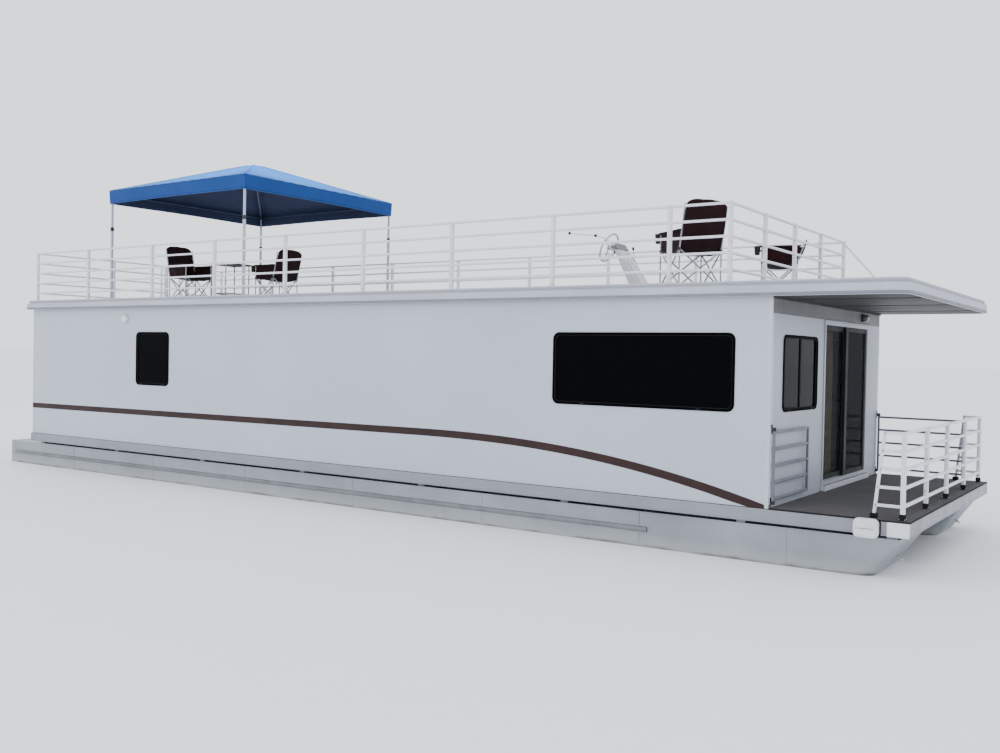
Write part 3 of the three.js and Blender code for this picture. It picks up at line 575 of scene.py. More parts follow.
@dataclass(frozen=True)
class HullMetal(Finish):
    """Mill-finish hull plate with a chalky splash band and growth below the waterline."""

    growth: Color = (74, 78, 58)
    chalk: Color = (188, 190, 186)

    def weathered(self, nodes: Nodes, where: Socket, color: Socket) -> Socket:
        """Stains the plate by its height over the keel."""
        ragged = nodes.calc("MULTIPLY", nodes.noise(where, 4, 7), 0.09)
        level = nodes.calc("ADD", nodes.height(where), ragged)
        color = nodes.blend(color, self.chalk, nodes.ramp(level, 0.60, 0.48, 0, 0.5))
        return nodes.blend(color, self.growth, nodes.ramp(level, 0.475, 0.43, 0, 0.85))


@dataclass(frozen=True)
class ChippedPaint(Finish):
    """Powder coat on rails: chips and rubbed spots that show a darker ground."""

    ground: Color = (128, 124, 118)

    def weathered(self, nodes: Nodes, where: Socket, color: Socket) -> Socket:
        """Adds sparse chips."""
        return nodes.blend(color, self.ground, nodes.ramp(nodes.noise(where, 22, 8), 0.68, 0.74, 0, 0.7))


@dataclass(frozen=True)
class FadedCanvas(Finish):
    """Dyed canvas with painted sky light: it is painted lighter where it faces up, most of all near the peak.
    """

    faded: Color = (22, 150, 255)
    heights: Pair = (5.24, 5.62)

    def weathered(self, nodes: Nodes, where: Socket, color: Socket) -> Socket:
        """Paints sky light on the colour: lighter by how far the cloth faces up and by its height."""
        high = nodes.ramp(nodes.height(nodes.place()), *self.heights, 0.35, 1)
        share = nodes.calc("MULTIPLY", nodes.ramp(nodes.facing_up(), 0.3, 0.8), high)
        # Painted sky light: upward faces near the peak take the lighter blue.
        return nodes.blend(color, self.faded, share)


@dataclass(frozen=True)
class Carpet(Finish):
    """Short marine pile with trodden lanes and lint."""

    trodden: Color = (82, 80, 81)
    lint: Color = (46, 44, 46)

    def weathered(self, nodes: Nodes, where: Socket, color: Socket) -> Socket:
        """Lightens the lanes and speckles the pile."""
        color = nodes.blend(color, self.trodden, nodes.ramp(nodes.noise(where, 1.6, 5), 0.42, 0.68, 0, 0.55))
        return nodes.blend(color, self.lint, nodes.ramp(nodes.noise(where, 420, 2), 0.55, 0.8, 0, 0.5))


@dataclass(frozen=True)
class Glazing(Finish):
    """Tinted glass, partly see-through, with faint smears in its gloss."""

    alpha: float = 0.93

    def fill(self, nodes: Nodes) -> None:
        """Sets the tint, the gloss and how far the glass lets light through."""
        smears = nodes.noise(nodes.stretched(nodes.place(), (3, 3, 0.8)), 2, 5)
        gloss = nodes.ramp(smears, 0.4, 0.8, self.roughness, self.roughness + 0.08)
        nodes.set(
            Base_Color=linear(self.color), Roughness=gloss, Alpha=self.alpha,
            Specular_IOR_Level=self.specular,
        )
        nodes.material.surface_render_method = "BLENDED"


class Coat:
    """Every finish on the boat."""

    WALL = PanelPaint("wall_paint", (184, 190, 204), 0.34, wave_depth=0.004, tone_share=0.25, patch_scale=0.5)
    # The front wall's paint is a shade greyer than the side walls' as painted shade under the roof's
    # overhang.
    FRONT_WALL = PanelPaint(
        "front_wall_paint", (162, 167, 180), 0.34, wave_depth=0.004, tone_share=0.25, patch_scale=0.5,
    )
    # The door casing's paint is greyer as painted shade under the overhang.
    DOOR_FRAME = PanelPaint("door_frame_paint", (160, 163, 171), 0.34, tone_share=0.2)
    TRIM = PanelPaint("trim_paint", (192, 195, 203), 0.32, tone_share=0.2)
    # The roof's underside is painted dark grey as painted shade under the overhang.
    ROOF = RoofShell(
        "roof_gel_coat", (186, 191, 203), grain=Grain.PEBBLE, grain_scale=210, grain_depth=0.0008,
        specular=0.1,
    )
    EDGE = PanelPaint("edge_board", (134, 137, 146), 0.38, tone_share=0.4, patch_scale=3, foot=1)
    RAIL = ChippedPaint("rail_powder_coat", (222, 223, 230), 0.34, tone_share=0.3, patch_scale=6)
    HULL = HullMetal(
        "hull_plate", (158, 163, 168), 0.42, 0.75, (126, 131, 136), grain=Grain.BRUSHED, grain_scale=120,
        grain_depth=0.0002, patch_scale=1.1,
    )
    FRAME = Finish("frame_metal", (128, 131, 134), 0.5, 0.6, (98, 100, 100), patch_scale=4)
    STAINLESS = Finish(
        "stainless", (186, 189, 194), 0.22, 1, grain=Grain.BRUSHED, grain_scale=500, grain_depth=0.00005,
    )
    CARPET = Carpet(
        "bow_carpet_pile", (72, 70, 72), 0.95, grain=Grain.PILE, grain_scale=330, grain_depth=0.003,
        specular=0.1, sheen=0.1,
    )
    BINDING = Finish("carpet_binding", (34, 33, 36), 0.8, grain=Grain.WEAVE, grain_scale=240, specular=0.2)
    GLASS = Glazing("tinted_glass", (5, 6, 8), 0.06, specular=0.02)
    # The door glass's grey is partly its tint and partly a painted reflection of the sky, which its low
    # specular leaves out.
    DOOR_GLASS = Glazing("door_glass", (30, 33, 36), 0.05, specular=0.004, alpha=0.45)
    BLACK_FRAME = Finish("black_window_frame", (4, 4, 5), 0.6, grain_scale=600, specular=0.02)
    RUBBER = Finish("black_rubber", (22, 22, 23), 0.75, grain_scale=500, specular=0.25)
    BRONZE = Finish(
        "anodised_stile", (40, 44, 42), tone=(32, 36, 34), grain=Grain.BRUSHED, grain_scale=300,
        grain_depth=0.00006, specular=0.1,
    )
    STRIPE = Finish("stripe_tape", (50, 30, 27), 0.55, tone=(38, 27, 26), patch_scale=5, specular=0.25)
    VINYL = Finish(
        "white_vinyl", (226, 229, 234), 0.45, tone=(190, 192, 190), grain=Grain.PEBBLE, grain_scale=420,
        grain_depth=0.0004, patch_scale=9,
    )
    LENS = Finish("lamp_lens", (238, 240, 238), 0.2, tone=(216, 217, 210), coat=0.4, grain_depth=0.00005)
    LAMP_GREY = Finish(
        "porch_lamp_glass", (60, 60, 60), 0.25, tone=(50, 50, 50), coat=0.3, grain_depth=0.00005,
    )
    # Grey that paints the overhang's shade on the front wall's top, laid on as a board.
    HEADER = Finish("porch_header_paint", (98, 98, 98), patch_scale=2)
    # Dark grey that paints the shade under the overhang on the soffit's cover strips.
    SOFFIT_TRIM = Finish("soffit_trim_paint", (62, 62, 61), 0.6, patch_scale=3, specular=0.1)
    # The gates' tube is the rails' white paint, painted dark grey as painted shade under the overhang.
    GATE = ChippedPaint("gate_powder_coat", (98, 102, 111), 0.36, tone_share=0.3, patch_scale=6)
    RUB_RAIL = Finish("roof_rub_rail", (153, 157, 168), tone=(136, 140, 150), patch_scale=6)
    # A grey strip at the roof edge's foot; its darkness is partly its own grey and partly painted shade under
    # the edge.
    GUTTER = Finish("roof_gutter", (126, 130, 141), 0.5, 0.2, (106, 110, 120), patch_scale=5)
    # The canopy's top is painted lighter as painted sky light.
    CANVAS = FadedCanvas(
        "canopy_canvas", (9, 64, 131), 0.8, tone=(8, 57, 118), patch_scale=1.2, grain=Grain.WEAVE,
        grain_scale=210, grain_depth=0.0005, specular=0.2, sheen=0.12, uv=True,
    )
    CANVAS_SEAM = Finish("canopy_webbing", (14, 74, 142), 0.8, grain=Grain.WEAVE, sheen=0.2)
    CANVAS_LINING = Finish(
        "canopy_lining", (56, 66, 92), 0.85, tone=(44, 52, 76), patch_scale=1.2, grain=Grain.WEAVE,
        grain_scale=210, grain_depth=0.0005, specular=0.15, uv=True,
    )
    # The canopy's bars and hips: the frame's light paint, painted dark as painted shade under the canopy and
    # tinted blue as light thrown from the canvas.
    CANOPY_BAR = ChippedPaint("canopy_bar_paint", (58, 72, 98), 0.45, 0.3, patch_scale=8)
    CANOPY_LEG = ChippedPaint("canopy_leg_paint", (176, 180, 196), 0.38, tone_share=0.3, patch_scale=7)
    CHAIR_CLOTH = Finish(
        "chair_canvas", (34, 13, 16), 0.85, tone=(22, 10, 13), patch_scale=5, grain=Grain.WEAVE,
        grain_scale=330, grain_depth=0.0006, specular=0.12, sheen=0.05, uv=True,
    )
    CHAIR_BINDING = Finish("chair_binding", (22, 18, 20), 0.85, grain=Grain.WEAVE, grain_scale=300, sheen=0.2)
    CHAIR_TUBE = ChippedPaint("chair_tube", (150, 152, 158), 0.4, 0.2, patch_scale=12)
    BLACK_PLASTIC = Finish("black_plastic", (26, 26, 28), grain=Grain.PEBBLE, grain_scale=900)
    TABLE = Finish(
        "table_board", (58, 48, 44), tone=(40, 34, 32), grain=Grain.BRUSHED, grain_scale=160,
        grain_depth=0.0003,
    )
    HELM = Finish("helm_gel_coat", (182, 184, 192), 0.32, tone=(166, 168, 175), coat=0.3, patch_scale=3)
    HELM_HEAD = Finish("helm_head_plastic", (104, 106, 110), grain=Grain.PEBBLE, grain_scale=900)
    COWL = Finish(
        "motor_cowl_paint", (24, 26, 30), 0.22, tone=(34, 36, 40), coat=0.6, grain_depth=0.00003,
        patch_scale=5,
    )
    COWL_BAND = Finish("motor_grey_paint", (124, 128, 134), 0.3, 0.4, coat=0.4, patch_scale=6)
    MOTOR = Finish("motor_enamel", (38, 41, 46), 0.36, 0.3, (54, 57, 60), patch_scale=8, coat=0.2)
    PROPELLER = Finish(
        "propeller_metal", (150, 152, 156), 0.3, 0.85, (112, 112, 112), grain=Grain.BRUSHED, patch_scale=14,
    )
    ZINC = Finish(
        "zinc_anode", (142, 146, 148), 0.7, 0.4, (104, 106, 104), grain=Grain.PEBBLE, grain_scale=160,
    )
    LINEN = Finish(
        "curtain_linen", (214, 200, 176), 0.9, tone=(170, 152, 124), patch_scale=14, grain=Grain.WEAVE,
        grain_scale=300, grain_depth=0.0005, specular=0.15, sheen=0.3, uv=True,
    )
    CABIN_FLOOR = Finish(
        "cabin_floor_vinyl", (122, 100, 78), 0.42, tone=(92, 72, 54), grain=Grain.BRUSHED, grain_scale=60,
        grain_depth=0.0004, patch_scale=2.2,
    )
    DECKING = Finish(
        "platform_decking", (132, 128, 122), 0.75, tone=(104, 100, 96), grain=Grain.BRUSHED, grain_scale=90,
        grain_depth=0.0008,
    )
    DIAL = Finish("dial_face", (232, 232, 226), 0.4, coat=0.3, grain_depth=0.00002)
    PALE_FLOOR = Finish("pale_floor", (244, 245, 248), 0.7, tone=(240, 242, 246), grain_depth=0, specular=0.2)


class PathTree:
    """A Geometry Nodes tree that grows things along the edges of a guide mesh."""

    def __init__(self, title: str, **inputs: str) -> None:
        """Starts a tree whose guide has been made a curve.

        Args:
            title: the tree's name.
            inputs: the kind of each of its own inputs, by name.
        """
        self.group = bpy.data.node_groups.new(title, "GeometryNodeTree")
        face = self.group.interface
        face.new_socket("Guide", in_out="INPUT", socket_type="NodeSocketGeometry")
        face.new_socket("Result", in_out="OUTPUT", socket_type="NodeSocketGeometry")
        self.sockets = {
            name: face.new_socket(name, in_out="INPUT", socket_type=f"NodeSocket{kind}").identifier
            for name, kind in {**inputs, "Finish": "Material"}.items()
        }
        self.given = self.group.nodes.new("NodeGroupInput").outputs
        self.curve = self.out("GeometryNodeMeshToCurve", {0: self.given["Guide"]})

    def out(self, kind: str, inputs: dict | None = None, **settings: object) -> Socket:
        """Adds a node, as add_node does, and gives its first output."""
        return add_node(self.group, kind, inputs, **settings).outputs[0]

    def spread(self, thing: Socket, rotation: Socket) -> "PathTree":
        """Sets a thing on the guide at each spacing, turned by rotation, and ends the tree."""
        steps = {"Curve": self.curve, "Length": self.given["Spacing"]}
        points = self.out("GeometryNodeResampleCurve", steps, mode="LENGTH")
        places = {"Points": points, "Instance": thing, "Rotation": rotation}
        return self.close(self.out("GeometryNodeInstanceOnPoints", places))

    def close(self, grown: Socket) -> "PathTree":
        """Ends the tree: instances are realized and the finish is set."""
        real = self.out("GeometryNodeRealizeInstances", {0: grown})
        smooth = self.out("GeometryNodeSetShadeSmooth", {"Geometry": real})
        dressed = self.out("GeometryNodeSetMaterial", {"Geometry": smooth, "Material": self.given["Finish"]})
        add_node(self.group, "NodeGroupOutput", {"Result": dressed})
        return self

    def grow(
        self, name: str, paths: Iterable[Sequence[Point]], finish: Finish, body: str = BOAT,
        loop: bool = False, slot: str = "", node: str = "", **values: object,
    ) -> Thing:
        """Grows the tree along paths and leaves a plain mesh on a body.

        Args:
            name: the piece's name.
            paths: guide paths, each a row of points.
            finish: the finish of what grows.
            body: the body that it rides on.
            loop: True closes each path.
            slot: the record's material slot, where the piece stands for one; not used.
            node: the node that it stands for.
            values: the tree's inputs by name.

        Returns:
            The new object.
        """
        points, edges = [], []
        for path in paths:
            first = len(points)
            points.extend(Vector(p) for p in path)
            edges.extend((first + i, first + i + 1) for i in range(len(path) - 1))
            if loop:
                edges.append((len(points) - 1, first))
        guide = bpy.data.meshes.new(name)
        guide.from_pydata(points, edges, [])
        thing = add_object(name, guide)
        growth = thing.modifiers.new("growth", "NODES")
        growth.node_group = self.group
        for key, value in {**values, "Finish": finish.material()}.items():
            growth[self.sockets[key]] = value
        bpy.context.view_layer.update()
        grown = thing.evaluated_get(bpy.context.evaluated_depsgraph_get())
        mesh = bpy.data.meshes.new_from_object(grown)
        thing.modifiers.remove(growth)
        thing.data = mesh
        bpy.data.meshes.remove(guide)
        mesh.set_sharp_from_angle(angle=math.radians(40))
        return settle(thing, body, slot, node)


def stud_tree() -> PathTree:
    """Screw or rivet heads along a guide."""
    tree = PathTree("studs along a guide", Spacing="Float", Radius="Float", Height="Float", Facing="Vector")
    radius = tree.given["Radius"]
    shoulder = tree.out("ShaderNodeMath", {0: radius, 1: 0.62}, operation="MULTIPLY")
    sizes = {"Radius Top": shoulder, "Radius Bottom": radius, "Depth": tree.given["Height"]}
    head = tree.out("GeometryNodeMeshCone", {"Vertices": 8, **sizes})
    turn = tree.out("FunctionNodeAlignRotationToVector", {"Vector": tree.given["Facing"]}, axis="Z")
    return tree.spread(head, turn)


def slat_tree() -> PathTree:
    """Blocks that lie along a guide, sized along it, across it and up."""
    tree = PathTree("slats along a guide", Spacing="Float", Size="Vector", Up="Vector")
    block = tree.out("GeometryNodeMeshCube", {"Size": tree.given["Size"]})
    axes = {"Primary Axis": tree.out("GeometryNodeInputTangent"), "Secondary Axis": tree.given["Up"]}
    turns = tree.out("FunctionNodeAxesToRotation", axes, primary_axis="X", secondary_axis="Z")
    return tree.spread(block, turns)


def pipe_tree() -> PathTree:
    """Round tube with soft bends along a guide."""
    tree = PathTree("pipe along a guide", Radius="Float", Bend="Float")
    bends = {"Curve": tree.curve, "Count": 5, "Radius": tree.given["Bend"], "Limit Radius": True}
    soft = tree.out("GeometryNodeFilletCurve", bends, mode="POLY")
    section = tree.out("GeometryNodeCurvePrimitiveCircle", {"Resolution": 10, "Radius": tree.given["Radius"]})
    parts = {"Curve": soft, "Profile Curve": section, "Fill Caps": True}
    return tree.close(tree.out("GeometryNodeCurveToMesh", parts))


STUDS, SLATS, PIPES = stud_tree(), slat_tree(), pipe_tree()


def studs(
    name: str, rows: Iterable[Sequence[Point]], facing: Point, spacing: float, radius: float, height: float,
    finish: Finish = Coat.STAINLESS, loop: bool = False,
) -> Thing:
    """Sets screw or rivet heads along rows, all facing one way.

    Args:
        name: the piece's name.
        rows: the rows that the heads stand in.
        facing: the way that the heads face.
        spacing: distance from head to head.
        radius: a head's radius.
        height: a head's height.
        finish: the heads' finish.
        loop: True closes each row.

    Returns:
        The new object.
    """
    sizes = {"Spacing": spacing, "Radius": radius, "Height": height}
    return STUDS.grow(name, rows, finish, loop=loop, Facing=facing, **sizes)


def plate_screws(name: str, posts: Iterable[Pair], reach: float, z: float, height: float) -> None:
    """Sets a screw at each corner of the posts' square base plates.

    Args:
        name: the piece's name.
        posts: the posts' places.
        reach: how far the screws stand from a post's middle, along X and along Y.
        z: height of the heads' middle.
        height: a head's height.
    """
    square = ((-reach, -reach), (reach, -reach), (reach, reach), (-reach, reach))
    rows = [[(x + u, y + v, z) for u, v in square] for x, y in posts]
    studs(name, rows, (0, 0, 1), reach * 2, 0.006, height, loop=True)


def slats(
    name: str, row: Sequence[Point], finish: Finish, spacing: float, size: Point, up: Point, body: str = BOAT,
) -> Thing:
    """Lays equal blocks along a row.

    Args:
        name: the piece's name.
        row: the row of the blocks' middles.
        finish: their finish.
        spacing: distance from block to block.
        size: a block's size along the row, across it and up.
        up: the way that the blocks' tops face.
        body: the body that they ride on.

    Returns:
        The new object.
    """
    return SLATS.grow(name, [row], finish, body, Spacing=spacing, Size=size, Up=up)


def pipes(
    name: str, paths: Iterable[Sequence[Point]], finish: Finish, radius: float, bend: float = 0.001,
    body: str = BOAT, loop: bool = False, slot: str = "", node: str = "",
) -> Thing:
    """Runs round tubes along paths.

    Args:
        name: the piece's name.
        paths: the tubes' middle lines.
        finish: their finish.
        radius: their radius.
        bend: radius of their bends.
        body: the body that they ride on.
        loop: True closes each path.
        slot: the record's material slot, where the piece stands for one; not used.
        node: the node that they stand for.

    Returns:
        The new object.
    """
    return PIPES.grow(name, paths, finish, body, loop, slot, node, Radius=radius, Bend=bend)


@dataclass(frozen=True)
class Face:
    """An upright flat place on the boat: its middle, the way across it and the way out."""

    middle: Point
    across: Vector
    out: Vector

    def at(self, u: float, v: float, n: float = 0) -> Vector:
        """The point u across, v up and n out from the middle."""
        return Vector(self.middle) + self.across * u + Z * v + self.out * n

    def ring(self, outline: Iterable[Pair], n: float) -> list[Vector]:
        """An outline of (u, v), laid at a height n out of the face."""
        return [self.at(u, v, n) for u, v in outline]

    def slab(self, outline: Iterable[Pair], n0: float, n1: float, shape: Shape | None = None) -> Shape:
        """Lays an outline as a plate from n0 to n1, in a new shape or in the one given."""
        return (shape or Shape()).prism(self.ring(outline, n0), self.out * (n1 - n0))

    def board(self, u: Pair, v: Pair, n: Pair, shape: Shape | None = None) -> Shape:
        """Lays a rectangular board by its ranges across, up and out, like a slab."""
        return self.slab([(u[0], v[0]), (u[1], v[0]), (u[1], v[1]), (u[0], v[1])], *n, shape)

    def border(self, half_u: float, half_v: float, radius: float, inset: float, n: Pair) -> Shape:
        """Makes a rectangular border with round corners, inset wide, from n[0] to n[1]."""
        outer = rounded(half_u, half_v, radius, 6)
        inner = rounded(half_u - inset, half_v - inset, max(radius - inset * 0.7, 0.004), 6)
        return Shape().frame_ring(self.ring(outer, n[0]), self.ring(inner, n[0]), self.out * (n[1] - n[0]))


@dataclass
class Studio:
    """The pale floor at the waterline, and soft light from above and from the starboard side."""

    reach: float = 600
    sky: Color = (240, 243, 250)
    sky_strength: float = 1.9
    lamp_size: float = 34

    def build(self) -> None:
        """Makes the floor, the sky and the lamps."""
        floor, r = Shape(), self.reach
        corners = [(-r, -r), (r, -r), (r, r), (-r, r)]
        floor.mesh.faces.new([floor.mesh.verts.new((x, y, WATERLINE)) for x, y in corners])
        ground = floor.thing("pale_floor")
        dress(ground, Coat.PALE_FLOOR)
        world = bpy.data.worlds.new("studio_sky")
        world.use_nodes = True
        shade = world.node_tree.nodes["Background"]
        shade.inputs["Color"].default_value = linear(self.sky)
        shade.inputs["Strength"].default_value = self.sky_strength
        bpy.context.scene.world = world
        self.lamp("top_light", (-2, -14, 30), (0, 0, 2), self.lamp_size, 1600)
        self.lamp("side_light", (-16, -34, 16), (-1, 0, 2.5), self.lamp_size * 0.7, 700)

    def lamp(self, name: str, place: Point, target: Point, size: float, power: float) -> None:
        """Adds one soft square lamp that faces a target."""
        light = bpy.data.lights.new(name, "AREA")
        light.shape, light.size, light.energy = "SQUARE", size, power
        light.color = (1, 0.99, 0.97)
        thing = add_object(name, light)
        thing.location = place
        thing.rotation_euler = (Vector(target) - Vector(place)).to_track_quat("-Z", "Y").to_euler()


@dataclass
class PhotoCamera:
    """The camera where the photograph was taken, as fitted to its straight edges."""

    place: tuple[float, float, float] = (10.59, -12.399, 2.533)
    yaw: float = 2.1752
    pitch: float = -0.0203
    roll: float = 0.0188
    focal_px: float = 1011.42
    width_px: float = 1000
    sensor_mm: float = 36

    def build(self) -> None:
        """Makes the camera and gives it to the scene."""
        yaw, pitch = self.yaw, self.pitch
        forward = Vector((math.cos(yaw) * math.cos(pitch), math.sin(yaw) * math.cos(pitch), math.sin(pitch)))
        level = Vector((math.sin(yaw), -math.cos(yaw), 0))
        above = level.cross(forward)
        right = level * math.cos(self.roll) + above * math.sin(self.roll)
        up = above * math.cos(self.roll) - level * math.sin(self.roll)
        lens = bpy.data.cameras.new("photo_camera")
        lens.sensor_width = self.sensor_mm
        lens.lens = self.focal_px * self.sensor_mm / self.width_px
        lens.clip_end = 2000
        thing = add_object("photo_camera", lens)
        turn = Matrix((right, up, -forward)).transposed().to_4x4()
        thing.matrix_world = Matrix.Translation(self.place) @ turn
        bpy.context.scene.camera = thing


@dataclass
class Hull:
    """One flat-bottomed hull with turned bilges, welded from plates, and its fittings."""

    side: Side
    inner: float = 0.95
    width: float = 1.1
    top: float = 0.8
    bilge: float = 0.14
    taper: float = 0.06
    taper_start: float = 5.6
    taper_length: float = 2.65
    keel: tuple[Pair, ...] = ((-7.6, 0.12), (-7.42, 0), (-5, 0), (-2, 0), (1, 0), (4, 0), (6.3, 0))
    sweep: tuple[Pair, ...] = ((6.3, 0), (7.5, 0.02), (8, 0.43))
    stem: tuple[Pair, ...] = ((8.12, 0.608), (8.225, 0.762))
    seams: tuple[float, ...] = (-5.6, -3.4, -1.2, 1, 3.2, 5.4, 7.1)
    strake_z: float = 0.6
    tow_eye_x: float = 8.06

    @property
    def profile(self) -> list[Pair]:
        """The bottom's line from the stern to the stem, as (x, z)."""
        start, bend, end = (Vector(p) for p in self.sweep)
        shares = (i / 9 for i in range(1, 10))
        curve = [start * (1 - t) ** 2 + bend * 2 * t * (1 - t) + end * t ** 2 for t in shares]
        return [*self.keel, *((p.x, p.y) for p in curve), *self.stem]

    @property
    def middle(self) -> float:
        """The hull's own centreline."""
        return self.side.value * (self.inner + self.width / 2)

    def bottom(self, x: float) -> float:
        """Height of the bottom at x."""
        for (x0, z0), (x1, z1) in zip(self.profile, self.profile[1:]):
            if x <= x1:
                return lerp(z0, z1, max(0, (x - x0) / (x1 - x0)))
        return self.profile[-1][1]

    def section(self, x: float, z0: float, proud: float = 0) -> list[Point]:
        """The hull's outline at x, from its top edge round the bottom; it narrows towards the bow.

        Args:
            x: the place along the hull.
            z0: height of the bottom.
            proud: how far the outline stands off the plates.

        Returns:
            The outline's points.
        """
        nearness = max(0, (x - self.taper_start) / self.taper_length)
        half = self.width / 2 * (1 - self.taper * nearness ** 2) + proud
        low = z0 - proud
        radius = min(self.bilge, (self.top - low) * 0.45)
        middle = low + radius
        bilges = arc(radius - half, middle, radius, 2, 6) + arc(half - radius, middle, radius, 3, 6)
        return [(x, self.middle + y, z) for y, z in [(half, self.top), (-half, self.top), *bilges]]

    def build(self) -> None:
        """Makes the shell, its seams, strake, anode, plug and tow eye."""
        name = self.side.label
        shell = Shape().skin(self.section(x, z) for x, z in self.profile)
        shell.piece(f"hull_shell_{name}", Coat.HULL, slot="hull_metal", node=f"hull_{name}", sharp=28)
        girths = []
        for x in self.seams:
            ring = self.section(x, self.bottom(x) + 0.005, 0.0005)
            girths.append([*ring[1:], ring[0]])
        pipes(f"hull_weld_seams_{name}", girths, Coat.HULL, 0.004, 0.002)
        self.strake(name)
        self.fittings(name)

    def strake(self, name: str) -> None:
        """A rubbing strake along the hull's outer side, riveted on."""
        way, z = self.side.value, self.strake_z
        outer = way * (self.inner + self.width)
        outline = ((0, -0.032), (0.016, -0.026), (0.024, 0), (0.016, 0.026), (0, 0.032))
        rail = Shape().skin(
            [(x, outer + way * (u - inset), z + v) for u, v in outline]
            for x, inset in ((-7.5, 0.02), (-7.42, 0.001), (5.5, 0.001))
        )
        rail.piece(f"hull_strake_{name}", Coat.FRAME, slot="frame_metal", bevel=0.003)
        row = along_x((-7.3, 5.4), outer + way * 0.0225, z)
        studs(f"hull_strake_rivets_{name}", [row], (0, way, 0), 0.3, 0.006, 0.004)

    def fittings(self, name: str) -> None:
        """The sacrificial anode and drain plug aft, and the tow eye on the stem."""
        face = Face((self.profile[0][0], self.middle, 0), Y, -X)
        anode = face.slab([(u, v + 0.3) for u, v in rounded(0.1, 0.045, 0.02)], 0, 0.022)
        anode.piece(f"hull_anode_{name}", Coat.ZINC, bevel=0.006)
        plug = [
            (0, -0.001), (0.022, 0), (0.022, 0.006), (0.013, 0.008), (0.013, 0.018), (0.009, 0.02), (0, 0.02),
        ]
        Shape().turned(plug, face.at(0.28, 0.22), -X, 12).piece(f"hull_drain_plug_{name}", Coat.STAINLESS)
        x, y = self.tow_eye_x, self.middle
        z = lerp(self.bottom(x), self.top, 0.12)
        eye = [
            (x - 0.02, y - 0.03, z + 0.03), (x + 0.075, y - 0.03, z - 0.03), (x + 0.075, y + 0.03, z - 0.03),
            (x - 0.02, y + 0.03, z + 0.03),
        ]
        pipes(f"hull_tow_eye_{name}", [eye], Coat.STAINLESS, 0.008, 0.028)


@dataclass
class Deck:
    """The deck's edge board with its fasteners, the frame under it, the floors and the bow carpet."""

    bow: float = 8.345
    aft: float = -6.8
    outer: float = 2.155
    thick: float = 0.03
    bottom: float = 0.845
    top: float = 0.985

    def build(self) -> None:
        """Makes and dresses every piece of the deck."""
        repaint(Coat.FRAME, "underdeck_frame", "deck")
        self.edge_board()
        self.fasteners()
        self.carpet()
        self.cabin_floor()

    def edge_board(self) -> None:
        """Four light boards with rounded edges, and a bead along their foot."""
        bow, aft, thick, low, high = self.bow, self.aft, self.thick, self.bottom, self.top
        boards = Shape().twin_boxes((aft, self.outer - thick, low), (bow, self.outer, high))
        inner = self.outer - thick - 0.0005
        boards.box((bow - thick, -inner, low), (bow - 0.001, inner, high))
        boards.box((aft + 0.001, -inner, low), (aft + thick, inner, high))
        boards.piece("edge_boards", Coat.EDGE, slot="edge_paint", node="deck_edge_board", bevel=0.005)
        x, y, z = (aft + 0.002, bow - 0.002), self.outer - 0.002, low + 0.016
        bead = [*along_x(x, -y, z), *along_x(x[::-1], y, z), (x[0], -y, z)]
        pipes("edge_board_bead", [bead], Coat.EDGE, 0.007, 0.01)

    def fasteners(self) -> None:
        """The edge boards' screws, and the sealant at the side walls' foot."""
        for name, z in (("upper", self.top - 0.025), ("lower", self.bottom + 0.045)):
            for side in Side:
                row = along_x((self.aft + 0.1, self.bow - 0.1), side.value * self.outer, z)
                screws = f"edge_board_screws_{name}_{side.label}"
                studs(screws, [row], (0, side.value, 0), 0.405, 0.007, 0.004)
            row = along_y(self.bow, (-2, 2), z)
            studs(f"edge_board_screws_{name}_bow", [row], (1, 0, 0), 0.4, 0.007, 0.004)
        seal = [along_x((self.aft + 0.03, CABIN_FRONT), way * 2.1365, self.top + 0.002) for way in BOTH]
        pipes("wall_foot_sealant", seal, Coat.RUBBER, 0.0035)

    def carpet(self) -> None:
        """The bow carpet, with its cut edges bound in dark tape."""
        half_x, middle = (self.bow - CABIN_FRONT) / 2 - 0.006, (self.bow + CABIN_FRONT) / 2
        half_y = self.outer - 0.004
        pile = Shape().skin(
            [(middle + u, v, self.top + rise) for u, v in rounded(half_x - inset, half_y - inset, 0.018)]
            for inset, rise in ((0, 0.0004), (0, 0.011), (0.003, 0.0142), (0.009, 0.0147))
        )
        pile.piece("bow_carpet_pile", Coat.CARPET, slot="deck_carpet", node="bow_carpet")
        x = (CABIN_FRONT + 0.01, self.bow - 0.004)
        edge = [*along_x(x, -half_y, 0.994), *along_x(x[::-1], half_y, 0.994)]
        pipes("bow_carpet_binding", [edge], Coat.BINDING, 0.0085, 0.012)

    def cabin_floor(self) -> None:
        """The cabin's floor in planks, with its skirting."""
        repaint(Coat.CABIN_FLOOR, "cabin_floor")
        x0, x1, y = -6.695, 6.848, 2.058
        skirting = Shape().twin_boxes((x0, y - 0.012, 0.9975), (x1, y, 1.075))
        skirting.piece("cabin_skirting", Coat.TRIM, bevel=0.003)
        joints = [along_x((x0 + 0.01, x1 - 0.01), -1.8 + 0.3 * i, 0.9972) for i in range(13)]
        pipes("cabin_floor_joints", joints, Coat.BINDING, 0.0012)


